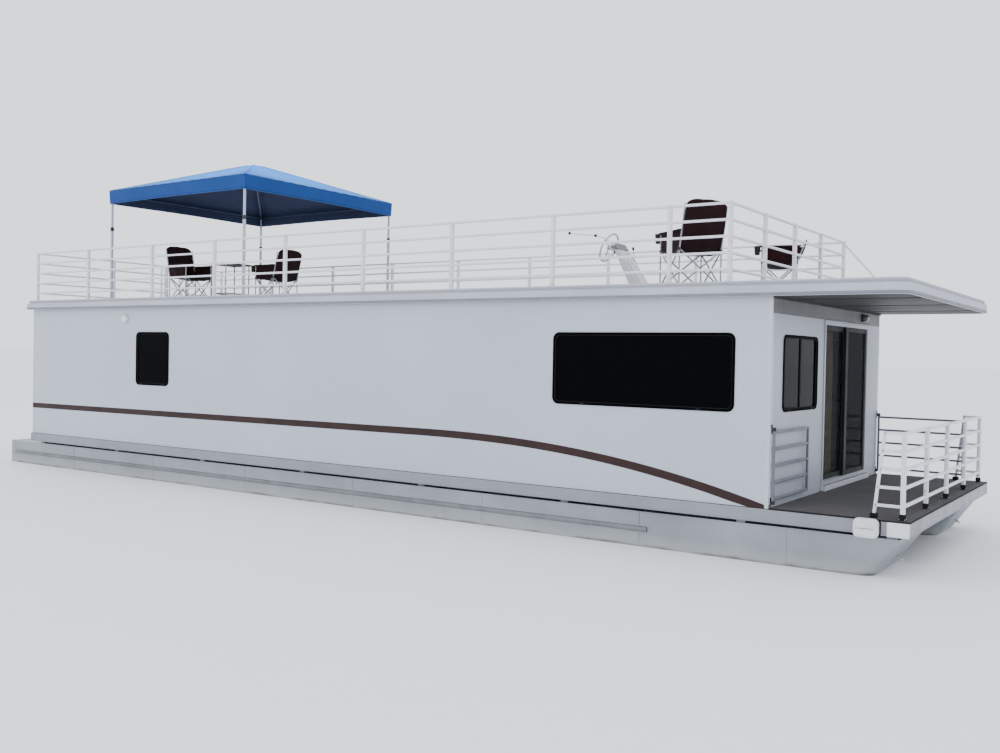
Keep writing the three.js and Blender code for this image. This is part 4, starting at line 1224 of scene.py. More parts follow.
@dataclass
class Window:
    """A fixed or sliding pane in a black frame with round corners, set in a wall."""

    node: str
    face: Face
    width: float
    height: float
    frame: float = 0.03
    radius: float = 0.08
    proud: float = 0.012
    depth: float = 0.082
    split: bool = False

    def build(self) -> None:
        """Makes the frame, its rubber, the dark pane, its stile and the weep covers."""
        u, v, face, node = self.width / 2 - 0.0003, self.height / 2 - 0.0003, self.face, self.node
        frame = face.border(u, v, self.radius, self.frame, (self.proud - self.depth, self.proud))
        frame.piece(f"{node}_frame", Coat.BLACK_FRAME, slot="dark_glazing", node=node, bevel=0.004)
        inset = self.frame - 0.003
        rubber = face.border(u - inset, v - inset, self.radius - inset * 0.6, 0.009, (-0.028, 0.006))
        rubber.piece(f"{node}_rubber", Coat.RUBBER, bevel=0.002)
        inset += 0.004
        pane = face.slab(rounded(u - inset, v - inset, 0.05, 6), -0.018, -0.012)
        pane.piece(f"{node}_pane", Coat.GLASS, slot="dark_glazing")
        if self.split:
            stile = face.board((-0.014, 0.014), (0.026 - v, v - 0.026), (-0.026, 0))
            stile.piece(f"{node}_stiles", Coat.RUBBER, bevel=0.003)
        weeps = Shape()
        for at in (-0.64 * u, 0.64 * u):
            n = (self.proud - 0.002, self.proud + 0.0035)
            face.board((at - 0.022, at + 0.022), (0.012 - v, 0.022 - v), n, weeps)
        weeps.piece(f"{node}_weep_covers", Coat.BLACK_PLASTIC, bevel=0.0025)


@dataclass
class Cabin:
    """The cabin's painted walls, with corner trims, stripes, windows and lamps."""

    aft: float = -6.77
    half: float = 2.135
    foot: float = 0.9855
    head: float = 3.2125
    side_windows: tuple[tuple[str, float, float, float, float], ...] = (
        ("fore", 0.395, 2.665, 1.98, 2.828), ("aft", 9.85, 10.69, 1.95, 2.815),
    )
    trim: float = 0.0022
    lamp: tuple[float, float, float] = (10.98, 3.03, 0.078)

    def build(self) -> None:
        """Paints the walls and makes what is on them."""
        repaint(Coat.WALL, "wall_starboard", "wall_port", "wall_stern")
        # The front wall takes a greyer paint as painted shade under the overhang.
        repaint(Coat.FRONT_WALL, "wall_front")
        repaint(Coat.STRIPE, "stripe_starboard", "stripe_port")
        for side in Side:
            wall = Face((CABIN_FRONT, side.value * self.half, 0), X, Y * side.value)
            for name, fore, aft, z0, z1 in self.side_windows:
                face = Face(wall.at(-(fore + aft) / 2, (z0 + z1) / 2), X, wall.out)
                Window(f"window_{side.label}_{name}", face, aft - fore, z1 - z0).build()
            self.side_lamp(side, wall)
        Window("window_front", Face((CABIN_FRONT, -1.19, 2.4035), Y, X), 1.18, 0.837, split=True).build()
        Window("window_stern", Face((self.aft, 0.18, 2.4035), Y, -X), 0.6, 0.837).build()
        self.corner_trims()
        self.porch()

    def corner_trims(self) -> None:
        """White angle trims up each corner, screwed on."""
        trims, rows, thick = Shape(), {side: [] for side in Side}, self.trim
        for side, (x, out, wide) in product(Side, ((CABIN_FRONT, 1, 0.019), (self.aft, -1, 0.034))):
            way = side.value
            y = way * self.half
            outline = [
                (x - out * 0.04, y), (x - out * 0.04, y + way * thick), (x + out * thick, y + way * thick),
                (x + out * thick, y - way * wide), (x, y - way * wide), (x, y),
            ]
            trims.prism([(px, py, self.foot) for px, py in outline], Z * (self.head - self.foot - 0.004))
            rows[side].append([(x - out * 0.022, y + way * thick, z) for z in (1.06, 3.17)])
        trims.piece("corner_trims", Coat.TRIM, slot="wall_paint", bevel=0.0008)
        for side in Side:
            studs(f"corner_trim_screws_{side.label}", rows[side], (0, side.value, 0), 0.3, 0.0045, 0.0025)

    def side_lamp(self, side: Side, wall: Face) -> None:
        """A round lamp: a white rim on the wall and a domed lens."""
        aft, z, r = self.lamp
        origin, node = wall.at(-aft, z), f"side_lamp_{side.label}"
        edge = [(r, 0.0005), (r, 0.012), (r * 0.95, 0.02), (r * 0.86, 0.022), (r * 0.84, 0.016)]
        rim = Shape().turned([(0, 0.0005), *edge, (0, 0.016)], origin, wall.out, 32)
        rim.piece(f"side_lamp_rim_{side.label}", Coat.TRIM, slot="lamp_cover", node=node)
        r *= 0.82
        dome = [(r * math.cos(a), 0.017 + 0.052 * math.sin(a)) for a in (i * math.pi / 16 for i in range(8))]
        lens = Shape().turned([(0, 0.0165), *dome, (0, 0.069)], origin, wall.out, 32)
        lens.piece(f"side_lamp_lens_{side.label}", Coat.LENS, slot="lamp_cover")

    def porch(self) -> None:
        """A grey board that paints the overhang's shade across the front wall's top, over its openings, and
        the small box lamp on it.
        """
        wall = Face((CABIN_FRONT, 0, 0), Y, X)
        # The board stands in for the shade that the overhang casts on the wall's top.
        board = wall.board((-2.1, 2.1), (3.035, 3.1895), (0.0003, 0.0045))
        board.piece("porch_header_board", Coat.HEADER, bevel=0.001)
        rows = [along_y(CABIN_FRONT + 0.0045, (-2.04, 2.04), z) for z in (3.06, 3.165)]
        studs("porch_header_screws", rows, (1, 0, 0), 0.34, 0.0045, 0.0025)
        face = Face((CABIN_FRONT, 1.255, 3.12), Y, X)
        back = face.slab(rounded(0.065, 0.05, 0.02), 0.0004, 0.03)
        back.piece("porch_lamp_back", Coat.BLACK_PLASTIC, slot="lamp_cover", node="porch_lamp", bevel=0.004)
        lens = Shape().skin(
            face.ring(rounded(0.058 - inset, 0.043 - inset, 0.018), n)
            for n, inset in ((0.029, 0), (0.066, 0.002), (0.078, 0.01), (0.083, 0.022))
        )
        lens.piece("porch_lamp_lens", Coat.LAMP_GREY, slot="lamp_cover")


@dataclass
class PatioDoor:
    """The sliding door: a white frame with a step, a fixed and a sliding leaf, and the curtain.

    The leaves' places are a name, their ranges along Y, and their ranges forward of the datum.
    """

    y: Pair = (-0.355, 1.535)
    z: Pair = (1.06, 3.022)
    bar: float = 0.045
    back: float = -0.076
    step_reach: float = 0.06
    stile: float = 0.055
    datum: float = 6
    leaves: tuple[tuple[str, Pair, Pair], ...] = (
        ("fixed", (0.562, 1.4897), (0.9, 0.926)), ("sliding", (-0.304, 0.618), (0.866, 0.892)),
    )
    curtain_fabric: float = 0.95
    curtain_x: float = 6.812
    curtain_y: Pair = (-0.04, 0.36)
    curtain_z: Pair = (3.03, 1.07)
    folds: int = 7

    def build(self) -> None:
        """Makes the frame, both leaves and the curtain."""
        self.frame()
        for leaf in self.leaves:
            self.leaf(*leaf)
        self.curtain()

    def frame(self) -> None:
        """The outer frame, with its step, track and drip cap."""
        x, (y0, y1), (z0, z1) = CABIN_FRONT, self.y, self.z
        face = Face((x, (y0 + y1) / 2, (z0 + z1) / 2), Y, X)
        half_u, half_v = (y1 - y0) / 2 - 0.0003, (z1 - z0) / 2 - 0.0003
        casing = face.border(half_u, half_v, 0.004, self.bar, (self.back, 0.012))
        # The casing's greyer paint is painted shade under the overhang.
        casing.piece(
            "patio_door_casing", Coat.DOOR_FRAME, slot="door_metal", node="patio_door_frame", bevel=0.003,
        )
        step = Shape().box((x + 0.0005, y0 - 0.02, 1.0004), (x + self.step_reach, y1 + 0.02, 1.062))
        step.piece("patio_door_step", Coat.TRIM, bevel=0.007)
        ribs = [along_y(x + 0.022 + 0.012 * i, self.y, 1.0615) for i in range(3)]
        pipes("patio_door_step_ribs", ribs, Coat.RUBBER, 0.0028)
        track = [along_y(at, (y0 + 0.05, y1 - 0.05), z0 + self.bar + 0.001) for at in (6.856, 6.897)]
        pipes("patio_door_track", track, Coat.STAINLESS, 0.0022)
        outline = [(0.0004, 3.055), (0.034, 3.03), (0.034, 3.024), (0.0004, 3.0225)]
        cap = Shape().prism([(x + out, y0 - 0.01, z) for out, z in outline], Y * (y1 - y0 + 0.02))
        cap.piece("patio_door_drip_cap", Coat.TRIM, bevel=0.0015)

    def leaf(self, name: str, y: Pair, n: Pair) -> None:
        """One glazed leaf: stiles and rails, glass and rubber; the sliding one has a handle.

        Args:
            name: fixed or sliding.
            y: its range across the boat.
            n: its range forward of the datum.
        """
        sliding, (y0, y1), (n0, n1) = name == "sliding", y, n
        body, gap = ("patio_door", 0.006) if sliding else (BOAT, 0.0003)
        z0, z1 = self.z[0] + self.bar + gap, self.z[1] - self.bar - gap
        face = Face((self.datum, 0, 0), Y, X)
        leaf = Face(face.at((y0 + y1) / 2, (z0 + z1) / 2), Y, X)
        u, v, inset, centre = (y1 - y0) / 2, (z1 - z0) / 2, self.stile - 0.004, (n0 + n1) / 2
        stiles = leaf.border(u, v, 0.003, self.stile, n)
        node = f"patio_door_{name}"
        stiles.piece(f"patio_leaf_{name}", Coat.BRONZE, body, "door_metal", node, bevel=0.0025)
        rubber = leaf.border(u - inset, v - inset, 0.003, 0.008, (n0 + 0.007, n1 - 0.007))
        rubber.piece(f"patio_leaf_rubber_{name}", Coat.RUBBER, body, bevel=0.0015)
        inset += 0.003
        glass = leaf.slab(rounded(u - inset, v - inset, 0.004), centre - 0.003, centre + 0.003)
        # The leaf's glass grey holds a painted reflection of the sky.
        glass.piece(f"patio_leaf_glass_{name}", Coat.DOOR_GLASS, body, "dark_glazing")
        if not sliding:
            low, high = z0 + self.stile, z1 - self.stile
            cover = face.board((y0, y0 + 0.095), (low, high), (n1 + 0.0003, n1 + 0.0035))
            cover.piece("patio_interlock_cover", Coat.BRONZE, bevel=0.001)
            return
        self.handle(body, y0 + self.stile / 2, n1)
        runners = Shape()
        for start in (y0 + 0.06, y1 - 0.14):
            runners.box((6.871, start, 1.1056), (6.887, start + 0.08, z0 + 0.01))
        runners.piece("patio_leaf_runners", Coat.BLACK_PLASTIC, body, bevel=0.003)

    def handle(self, body: str, y: float, n: float) -> None:
        """A flush pull with its latch lever, on the sliding leaf's outer stile."""
        face = Face((self.datum, y, 2.02), Y, X)
        plate = face.slab(rounded(0.017, 0.115, 0.014), n - 0.0005, n + 0.0035)
        plate.piece("patio_handle_plate", Coat.BLACK_PLASTIC, body, bevel=0.0015)
        grip = [(-0.085, 0.002), (-0.085, 0.0052), (0.085, 0.0052), (0.085, 0.002)]
        paths = [[face.at(0, v, n + out) for v, out in grip]]
        pipes("patio_handle_grip", paths, Coat.STAINLESS, 0.0022, 0.004, body)

    def curtain(self) -> None:
        """A gathered curtain that hangs inside, behind the door's starboard edge, from a rod."""
        x, (y0, y1), (top, bottom) = self.curtain_x, self.curtain_y, self.curtain_z
        fabric = self.curtain_fabric
        rows, columns, depth = 26, 140, 0.014

        def point(i: int, j: int) -> Vector:
            """The cloth's point at column i and row j."""
            t, drop = i / columns, j / rows
            sway = 0.35 * math.sin(9 * t + 2.6 * drop)
            wave = math.sin(2 * math.pi * self.folds * t + sway) * (0.55 + 0.45 * min(1, drop * 3))
            spread = 1 - 0.1 * math.sin(math.pi * drop)
            y = (y0 + y1) / 2 + (t - 0.5) * (y1 - y0) * spread
            return Vector((x + depth * wave, y, lerp(top, bottom, drop)))

        for _ in range(24):
            row = [point(i, rows // 2) for i in range(columns + 1)]
            length = sum((b - a).length for a, b in zip(row, row[1:]))
            depth *= 1 + 0.5 * (fabric / length - 1)
        run = [j / rows * (top - bottom) for j in range(rows + 1)]
        drape = Shape().cloth(point, columns, fabric, run).piece("cabin_curtain", Coat.LINEN, sharp=180)
        pipes("cabin_curtain_rod", [along_y(x, (-1.1, 1.75), top + 0.012)], Coat.STAINLESS, 0.009)
        brackets = Shape()
        for y in (-1.08, 1.73):
            brackets.box((x - 0.012, y - 0.012, top), (6.8595, y + 0.012, top + 0.024))
        brackets.piece("cabin_curtain_brackets", Coat.BLACK_PLASTIC, bevel=0.003)


@dataclass
class SternDoor:
    """The stern door's leaf with its raised border, small pane, knob and hinge."""

    x: Pair = (-6.812, -6.78)
    y: Pair = (-1.19, -0.375)
    z: Pair = (1.02, 3.03)
    strap_x: Pair = (-6.7785, -6.7705)

    def build(self) -> None:
        """Makes the leaf and its fittings on the stern door's body, and the hinge on the boat."""
        body, (x0, x1), (y0, y1), (z0, z1) = "stern_door", self.x, self.y, self.z
        face = Face((x0, (y0 + y1) / 2, (z0 + z1) / 2), -Y, -X)
        leaf = face.slab(rounded((y1 - y0) / 2, (z1 - z0) / 2, 0.012), x0 - x1, 0)
        leaf.piece("stern_door_leaf", Coat.WALL, body, "wall_paint", "stern_door", bevel=0.005)
        upper, lower = (Face(face.at(0, v), -Y, -X) for v in (0.425, -0.5))
        border = upper.border(0.2425, 0.385, 0.05, 0.03, (-0.0005, 0.007))
        border.piece("stern_door_pane_frame", Coat.BLACK_FRAME, body, bevel=0.003)
        pane = upper.slab(rounded(0.222, 0.365, 0.04), 0.0003, 0.0028)
        pane.piece("stern_door_pane", Coat.GLASS, body, "dark_glazing")
        moulding = lower.border(0.26, 0.36, 0.03, 0.018, (-0.0005, 0.004))
        moulding.piece("stern_door_moulding", Coat.WALL, body, bevel=0.002)
        self.knob(body)
        back, wall = self.strap_x
        hinge = Shape()
        for low, high in ((0.99, 1.0197), (3.0303, 3.06)):
            hinge.box((x0 - 0.002, -1.24, low), (wall, -1.168, high))
        hinge.box((back, -1.24, 0.99), (wall, -1.2, 3.06))
        hinge.piece(
            "stern_door_strap", Coat.BLACK_FRAME, slot="hinge_metal", node="stern_door_hinge", bevel=0.003,
        )
        row = [(back, -1.22, z) for z in (1.08, 2.98)]
        studs("stern_door_strap_screws", [row], (-1, 0, 0), 0.38, 0.005, 0.003)

    def knob(self, body: str) -> None:
        """A lever knob on a round rose, with the keyhole under it."""
        origin = Vector((self.x[0], -0.4375, 2.02))
        rose = [(0, -0.001), (0.028, -0.001), (0.028, 0.004), (0.02, 0.008), (0, 0.008)]
        grip = [
            (0, 0.006), (0.009, 0.006), (0.009, 0.014), (0.021, 0.019), (0.023, 0.027), (0.017, 0.033),
            (0, 0.034),
        ]
        lock = [(0, -0.001), (0.014, -0.001), (0.014, 0.004), (0, 0.005)]
        knob = Shape().turned(rose, origin, -X, 20).turned(grip, origin, -X, 20)
        knob.turned(lock, origin - Z * 0.09, -X, 16).piece("stern_door_knob", Coat.STAINLESS, body, sharp=50)


@dataclass
class Roof:
    """The roof deck: a moulded shell with a bright edge band, on a plain soffit.

    The section, the rub rail and the gutter are pairs of inset and height.
    """

    front: float = 8.3
    aft: float = -6.85
    half: float = 2.215
    corner: float = 0.19
    section: tuple[Pair, ...] = (
        (0.02, 3.213), (0.004, 3.215), (0, 3.22), (0, 3.308), (0.003, 3.315), (0.01, 3.3195), (0.024, 3.3205),
        (0.029, 3.324), (0.03, 3.33), (0.03, 3.362), (0.034, 3.37), (0.042, 3.3745), (0.06, 3.375),
    )
    rub_rail: tuple[Pair, ...] = ((0.0305, 3.333), (0.0262, 3.335), (0.0262, 3.357), (0.0305, 3.359))
    gutter: tuple[Pair, ...] = ((0.0015, 3.2146), (-0.004, 3.216), (-0.004, 3.2425), (0.0015, 3.244))
    soffit: float = 3.2128

    def plan(self, inset: float, z: float) -> list[Point]:
        """The roof's outline at a height: square aft, with round corners at the bow."""
        x, y, r = self.aft + inset, self.half - inset, self.corner - inset
        fore = self.front - inset - r
        corners = arc(fore, r - y, r, -1, 12) + arc(fore, y - r, r, 0, 12)
        return [(u, v, z) for u, v in [(x, y), (x, -y), *corners]]

    def build(self) -> None:
        """Makes the shell with its drip bead, trims, joints and screws, and the soffit's cover strips."""
        shell = Shape().skin(self.plan(*row) for row in self.section)
        shell.piece("roof_shell", Coat.ROOF, slot="roof_shell", node="roof", sharp=24)
        drip = self.plan(0.022, 3.2125)
        pipes("roof_drip_bead", [[*drip[1:], drip[0]]], Coat.TRIM, 0.006, 0.01)
        strips = Shape()
        for y in (-1.42, 0, 1.42):
            strips.box((6.936, y - 0.022, 3.2085), (8.235, y + 0.022, self.soffit))
        strips.box((6.9325, -2.13, 3.19), (6.95, 2.13, self.soffit))
        # The strips' dark grey is painted shade under the overhang.
        strips.piece("soffit_cover_strips", Coat.SOFFIT_TRIM, bevel=0.0015)
        # The gutter strip's dark grey is partly painted shade under the roof's edge.
        for name, rows, finish in (
            ("roof_rub_rail", self.rub_rail, Coat.RUB_RAIL), ("roof_gutter", self.gutter, Coat.GUTTER),
        ):
            Shape().skin((self.plan(*row) for row in rows), loop=True).piece(name, finish, sharp=50)
        joints = [along_y(x, (-2.13, 2.13), 3.3752) for x in (-4.4, -2, 0.4, 2.8, 5.2, 7.4)]
        pipes("roof_panel_joints", joints, Coat.TRIM, 0.0028)
        for side in Side:
            row = along_x((-6.7, 8), side.value * self.half, 3.267)
            studs(f"roof_band_screws_{side.label}", [row], (0, side.value, 0), 0.61, 0.006, 0.0025)


@dataclass
class Railing:
    """A welded rail: posts on screwed base plates, bars through them, and extra bars as bar() takes them."""

    name: str
    node: str
    posts: Sequence[Pair]
    runs: Sequence[tuple[Pair, Pair]]
    heights: Sequence[float]
    foot: float
    top: float
    post: float = 0.046
    bar: float = 0.028
    plate: float = 0.092
    boots: bool = False
    extra: Sequence[tuple] = ()

    def build(self) -> None:
        """Makes the rail, its post caps, base plates and their screws."""
        name, foot, top = self.name, self.foot, self.top
        rail = Shape()
        for x, y in self.posts:
            rail.bar((x, y, foot + 0.002), (x, y, top - 0.001), self.post, corner=0.006)
        for z, (start, end) in product(self.heights, self.runs):
            rail.bar((*start, z), (*end, z), self.bar, corner=0.005)
        for bar in self.extra:
            rail.bar(*bar)
        rail.piece(f"{name}_bars", Coat.RAIL, slot="rail_paint", node=self.node, sharp=50)
        caps, plates, boots = Shape(), Shape(), Shape()
        half, reach = self.post / 2, self.plate / 2
        outline = rounded(reach, reach, 0.01, 3)
        for x, y in self.posts:
            caps.skin(
                [(x + u, y + v, z) for u, v in rounded(half + grow, half + grow, 0.006, 2)]
                for grow, z in ((0.0015, top - 0.006), (0.0015, top), (-0.004, top + 0.0035))
            )
            plates.prism([(x + u, y + v, foot) for u, v in outline], Z * 0.006)
            boots.prism([(x + u * 0.72, y + v * 0.72, foot + 0.005) for u, v in outline], Z * 0.055)
        caps.piece(f"{name}_caps", Coat.RAIL, bevel=0.001)
        plates.piece(f"{name}_plates", Coat.RUBBER if self.boots else Coat.RAIL, bevel=0.002)
        if self.boots:
            boots.piece(f"{name}_boots", Coat.RUBBER, bevel=0.006)
        plate_screws(f"{name}_plate_screws", self.posts, reach - 0.012, foot + 0.0075, 0.005)


@dataclass
class RoofRails:
    """The rails round the roof deck: two sides, the bow end and the stern end beside the ladder."""

    y: float = 2.085
    foot: float = 3.3755
    top: float = 4.235
    gap: float = 0.178
    posts_aft: tuple[float, ...] = (0.5, 1.21, 2.73, 4.25, 5.77, 7.29, 8.84, 10.37, 12.12, 13.66)
    ladder: Pair = (0.66, 1.2)
    brace: float = 0.72

    def build(self) -> None:
        """Makes the four rails; a brace slants from the port rail's first post down towards the bow."""
        y, (near, far) = self.y, self.ladder
        heights = [self.top - 0.014 - i * self.gap for i in range(5)]
        posts = [CABIN_FRONT - back for back in self.posts_aft]
        fore, aft, end = posts[0], posts[-1], y - 0.0235
        port = [((aft, y), (fore, y)), ((aft, far), (aft, y))]
        brace = ((fore, y, self.top - 0.028), (fore + self.brace, y, self.foot + 0.018), 0.024, 0.024, 0.004)
        for name, node, places, runs, extra in (
            ("starboard_rail", "starboard", [(x, -y) for x in posts], [((aft, -y), (fore, -y))], []),
            ("port_rail", "port", [*((x, y) for x in posts), (aft, far)], port, [brace]),
            ("bow_end_rail", "bow", [(fore, v) for v in (-1.04, 0, 1.04)], [((fore, -end), (fore, end))], []),
            ("stern_end_rail", "stern", [(aft, -0.53), (aft, near)], [((aft, -end), (aft, near))], []),
        ):
            node = f"roof_rail_{node}"
            Railing(name, node, places, runs, heights, self.foot, self.top, extra=extra).build()


@dataclass
class BowRail:
    """The bow deck's front rail, with short returns that stop at raked stiles."""

    x: float = 8.25
    y: float = 2.05
    foot: float = 1.0004
    top: float = 1.865
    gap: float = 0.18
    stile: Pair = (7.975, 8.065)
    bar: float = 0.03

    def build(self) -> None:
        """Makes the rail with its stiles and rubber feet."""
        x, top, bar, (foot, head) = self.x, self.top, self.bar, self.stile
        heights = [top - 0.015 - i * self.gap for i in range(5)]
        returns = []
        for y in (-self.y, self.y):
            for z in heights:
                start = lerp(foot, head, (z - 1) / (top - 1))
                returns.append(((start, y, z), (x, y, z), bar, bar, 0.005))
            returns.append(((foot, y, self.foot), (head, y, top), bar, 0.031, 0.005))
        Railing(
            "bow_rail", "bow_rail", [(x, y) for y in (-self.y, -1.04, 0, 1.04, self.y)],
            [((x, -self.y), (x, self.y))], heights, self.foot, top - 0.004, 0.044, bar, 0.08, True, returns,
        ).build()
        low, high = (foot - 0.034, self.y - 0.028, self.foot), (foot + 0.038, self.y + 0.028, 1.05)
        Shape().twin_boxes(low, high).piece("bow_rail_stile_feet", Coat.RUBBER, bevel=0.008)


@dataclass
class Gate:
    """A boarding gate of square tube on two black hinges."""

    side: Side
    turn: float
    pivot: Pair = (6.965, 2.095)
    width: float = 1.13
    z: Pair = (1.072, 1.8)
    tube: float = 0.026
    bars: int = 5
    wall: float = 6.9303

    def build(self) -> None:
        """Makes the leaf on its own body, and the hinge brackets on the boat."""
        label, tube, (z0, z1) = self.side.label, self.tube, self.z
        body = f"gate_{label}"
        pivot = Vector((self.pivot[0], self.side.value * self.pivot[1], 0))
        along = Vector((math.cos(self.turn), math.sin(self.turn), 0))
        far = pivot + along * (self.width - tube)
        leaf = Shape()
        for end in (pivot, far):
            leaf.bar(end + Z * z0, end + Z * z1, tube)
        for i in range(self.bars):
            rise = Z * (z0 + tube / 2 + i * (z1 - z0 - tube) / (self.bars - 1))
            leaf.bar(pivot + rise, far + rise, tube - 0.002, tube)
        # The leaf's dark grey is painted shade under the overhang.
        leaf.piece(f"gate_leaf_{label}", Coat.GATE, body, "rail_paint", body, sharp=50)
        latch = Shape().bar(far + Z * 1.47, far + along * 0.012 + Z * 1.47, 0.02, 0.05)
        latch.turned([(0, 0), (0.012, 0), (0.012, 0.012), (0, 0.014)], far + Z * 1.513, Z, 12)
        latch.piece(f"gate_latch_{label}", Coat.STAINLESS, body, bevel=0.001)
        self.hinges(label, pivot.y)

    def hinges(self, label: str, y: float) -> None:
        """A white strap on the wall with a black bracket and pin over and under the leaf."""
        wall, (z0, z1), middle = self.wall, self.z, self.pivot[0] - 0.0075
        strap = Shape().box((wall, y - 0.019, z0 - 0.04), (wall + 0.006, y + 0.019, z1 + 0.04))
        node = f"gate_hinge_{label}"
        strap.piece(f"gate_strap_{label}", Coat.RAIL, slot="hinge_metal", node=node, bevel=0.002)
        lugs, outline = Shape(), rounded(0.0275, 0.018, 0.016)
        for low, high in ((z0 - 0.04, z0 - 0.0005), (z1 + 0.0005, z1 + 0.04)):
            lugs.prism([(middle + u, y + v, low) for u, v in outline], Z * (high - low))
            lugs.box((wall + 0.0062, y - 0.0185, low - 0.03), (wall + 0.011, y + 0.0185, high + 0.03))
        lugs.piece(f"gate_lugs_{label}", Coat.BLACK_PLASTIC, bevel=0.004)
        rows = [[(wall + 0.011, y, z - 0.022), (wall + 0.011, y, z - 0.012)] for z in (z0 - 0.04, z1)]
        studs(f"gate_lug_screws_{label}", rows, (1, 0, 0), 0.01, 0.0045, 0.003)


@dataclass
class BowFender:
    """A soft white corner fender on the edge board, with its dark backing and the corner guard.

    The swell is pairs of a share of the way out and the outline's inset there.
    """

    side: Side
    x: Pair = (7.82, 8.065)
    z: Pair = (0.815, 1.01)
    reach: Pair = (2.1555, 2.248)
    swell: tuple[Pair, ...] = (
        (0.06, 0.012), (0.22, 0.002), (0.5, 0), (0.78, 0.004), (0.93, 0.018), (1, 0.048),
    )

    def build(self) -> None:
        """Makes the padded block, its backing strap and the guard beside it."""
        label, (x0, x1), (z0, z1), (low, high) = self.side.label, self.x, self.z, self.reach
        out, u, v = Y * self.side.value, (x1 - x0) / 2, (z1 - z0) / 2
        face = Face(((x0 + x1) / 2, 0, (z0 + z1) / 2), X, out)
        block = Shape().skin(
            face.ring(rounded(u - inset, v - inset, 0.052, 6), lerp(low, high, share))
            for share, inset in self.swell
        )
        block.piece(f"bow_fender_pad_{label}", Coat.VINYL, slot="fender_vinyl", node=f"bow_fender_{label}")
        back = face.slab(rounded(u + 0.01, v - 0.02, 0.02), low - 0.0003, low + 0.006)
        back.piece(f"bow_fender_back_{label}", Coat.RUBBER, bevel=0.002)
        guard = Face((8.238, 0, 0.914), X, out).slab(rounded(0.106, 0.071, 0.01), 2.1553, 2.168)
        guard.piece(f"bow_corner_guard_{label}", Coat.VINYL, bevel=0.005)


@dataclass
class SternPlatform:
    """The low platform aft: a frame with slats on it, bearers and the transom board."""

    x: Pair = (-7.62, -6.801)
    half: float = 1.4
    bottom: float = 0.86
    top: float = 0.9
    slat_count: int = 9
    transom_x: Pair = (-7.67, -7.6)
    transom_half: float = 0.3

    def build(self) -> None:
        """Makes the frame, the slats, their screws and the transom board."""
        (x0, x1), half, low, high = self.x, self.half, self.bottom, self.top - 0.001
        inner, frame = half - 0.05, Shape()
        for way in BOTH:
            y0, y1 = sorted((way * half, way * inner))
            frame.box((x0, y0, low), (x1, y1, high))
            frame.box((-7.56, way * 1.175 - 0.06, 0.8005), (-6.9, way * 1.175 + 0.06, 0.88))
        frame.box((x1 - 0.03, -inner, low), (x1, inner, high))
        frame.box((x0, -inner, low), (x0 + 0.03, inner, high))
        for y in (-0.75, 0, 0.75):
            frame.box((x0 + 0.03, y - 0.025, low), (x1 - 0.03, y + 0.025, 0.882))
        frame.piece(
            "stern_platform_frame", Coat.FRAME, slot="frame_metal", node="stern_platform", bevel=0.004,
        )
        pitch = (x1 - x0 - 0.06) / self.slat_count
        ends, size = (x0 + 0.03 + pitch / 2, x1 - 0.03 - pitch / 2), (pitch - 0.012, 2 * half - 0.104, 0.018)
        row = along_x(ends, 0, self.top - 0.009)
        slats("stern_platform_slats", row, Coat.DECKING, pitch, size, (0, 0, 1))
        rows = [along_x(ends, y, self.top) for y in (-1.32, -0.75, 0, 0.75, 1.32)]
        studs("stern_platform_screws", rows, (0, 0, 1), pitch, 0.0055, 0.002)
        aft, fore = self.transom_x
        board = Face((aft, 0, 0.716), Y, -X).slab(rounded(self.transom_half, 0.1955, 0.03), aft - fore, 0)
        board.piece("transom_board", Coat.FRAME, slot="frame_metal", bevel=0.005)


@dataclass
class SternLadder:
    """The ladder up the stern wall to the roof deck."""

    x: float = -6.925
    y: Pair = (0.705, 1.155)
    tube: float = 0.034
    rungs: int = 9
    first: float = 1.15
    step: float = 0.275
    top: float = 4.235
    foot: float = 0.9005
    wall: float = -6.7705
    rail_x: float = -6.73

    def build(self) -> None:
        """Makes the stiles and stays, the ribbed rungs and the feet."""
        x, foot, head, wall, rail = self.x, self.foot, self.top - 0.02, self.wall, self.rail_x
        stiles, treads, feet = Shape(), Shape(), Shape()
        for y in self.y:
            stiles.bar((x, y, foot + 0.02), (x, y, self.top), self.tube, corner=0.008)
            for z in (1.7, 2.95):
                stiles.bar((x, y, z), (wall - 0.006, y, z), 0.026, corner=0.005)
                stiles.box((wall - 0.006, y - 0.028, z - 0.034), (wall, y + 0.028, z + 0.034))
            stiles.bar((x, y, head), (rail + 0.014, y, head), 0.027, corner=0.005)
            stiles.bar((rail, y, 3.3756), (rail, y, head), 0.027, 0.03, 0.005)
            feet.box((x - 0.024, y - 0.024, foot), (x + 0.024, y + 0.024, foot + 0.045))
        stiles.piece("ladder_stiles", Coat.RAIL, slot="rail_paint", node="stern_ladder", sharp=50)
        heights = [self.first + i * self.step for i in range(self.rungs)]
        for z in heights:
            treads.bar(*along_y(x, self.y, z), 0.03, 0.026, 0.006)
        treads.piece("ladder_rungs", Coat.RAIL, sharp=50)
        inner = (self.y[0] + 0.022, self.y[1] - 0.022)
        ribs = [along_y(x + shift, inner, z + 0.0128) for z, shift in product(heights, (-0.007, 0, 0.007))]
        pipes("ladder_rung_ribs", ribs, Coat.RUBBER, 0.0016)
        feet.piece("ladder_feet", Coat.RUBBER, bevel=0.006)


def superellipse(front: float, back: float, half: float, power: float, count: int = 32) -> list[Pair]:
    """A rounded plan outline between a front and a back, half wide each way."""
    points = []
    for c, s in circle(1, count):
        u, v = (math.copysign(abs(share) ** (2 / power), share) for share in (c, s))
        points.append(((front + back) / 2 + (front - back) / 2 * u, half * v))
    return points


def ovals(rows: Iterable[Sequence[float]], power: float, count: int = 32) -> list[list[Point]]:
    """Level outlines from rows of height, front, back and half width."""
    return [[(x, y, z) for x, y in superellipse(*plan, power, count)] for z, *plan in rows]


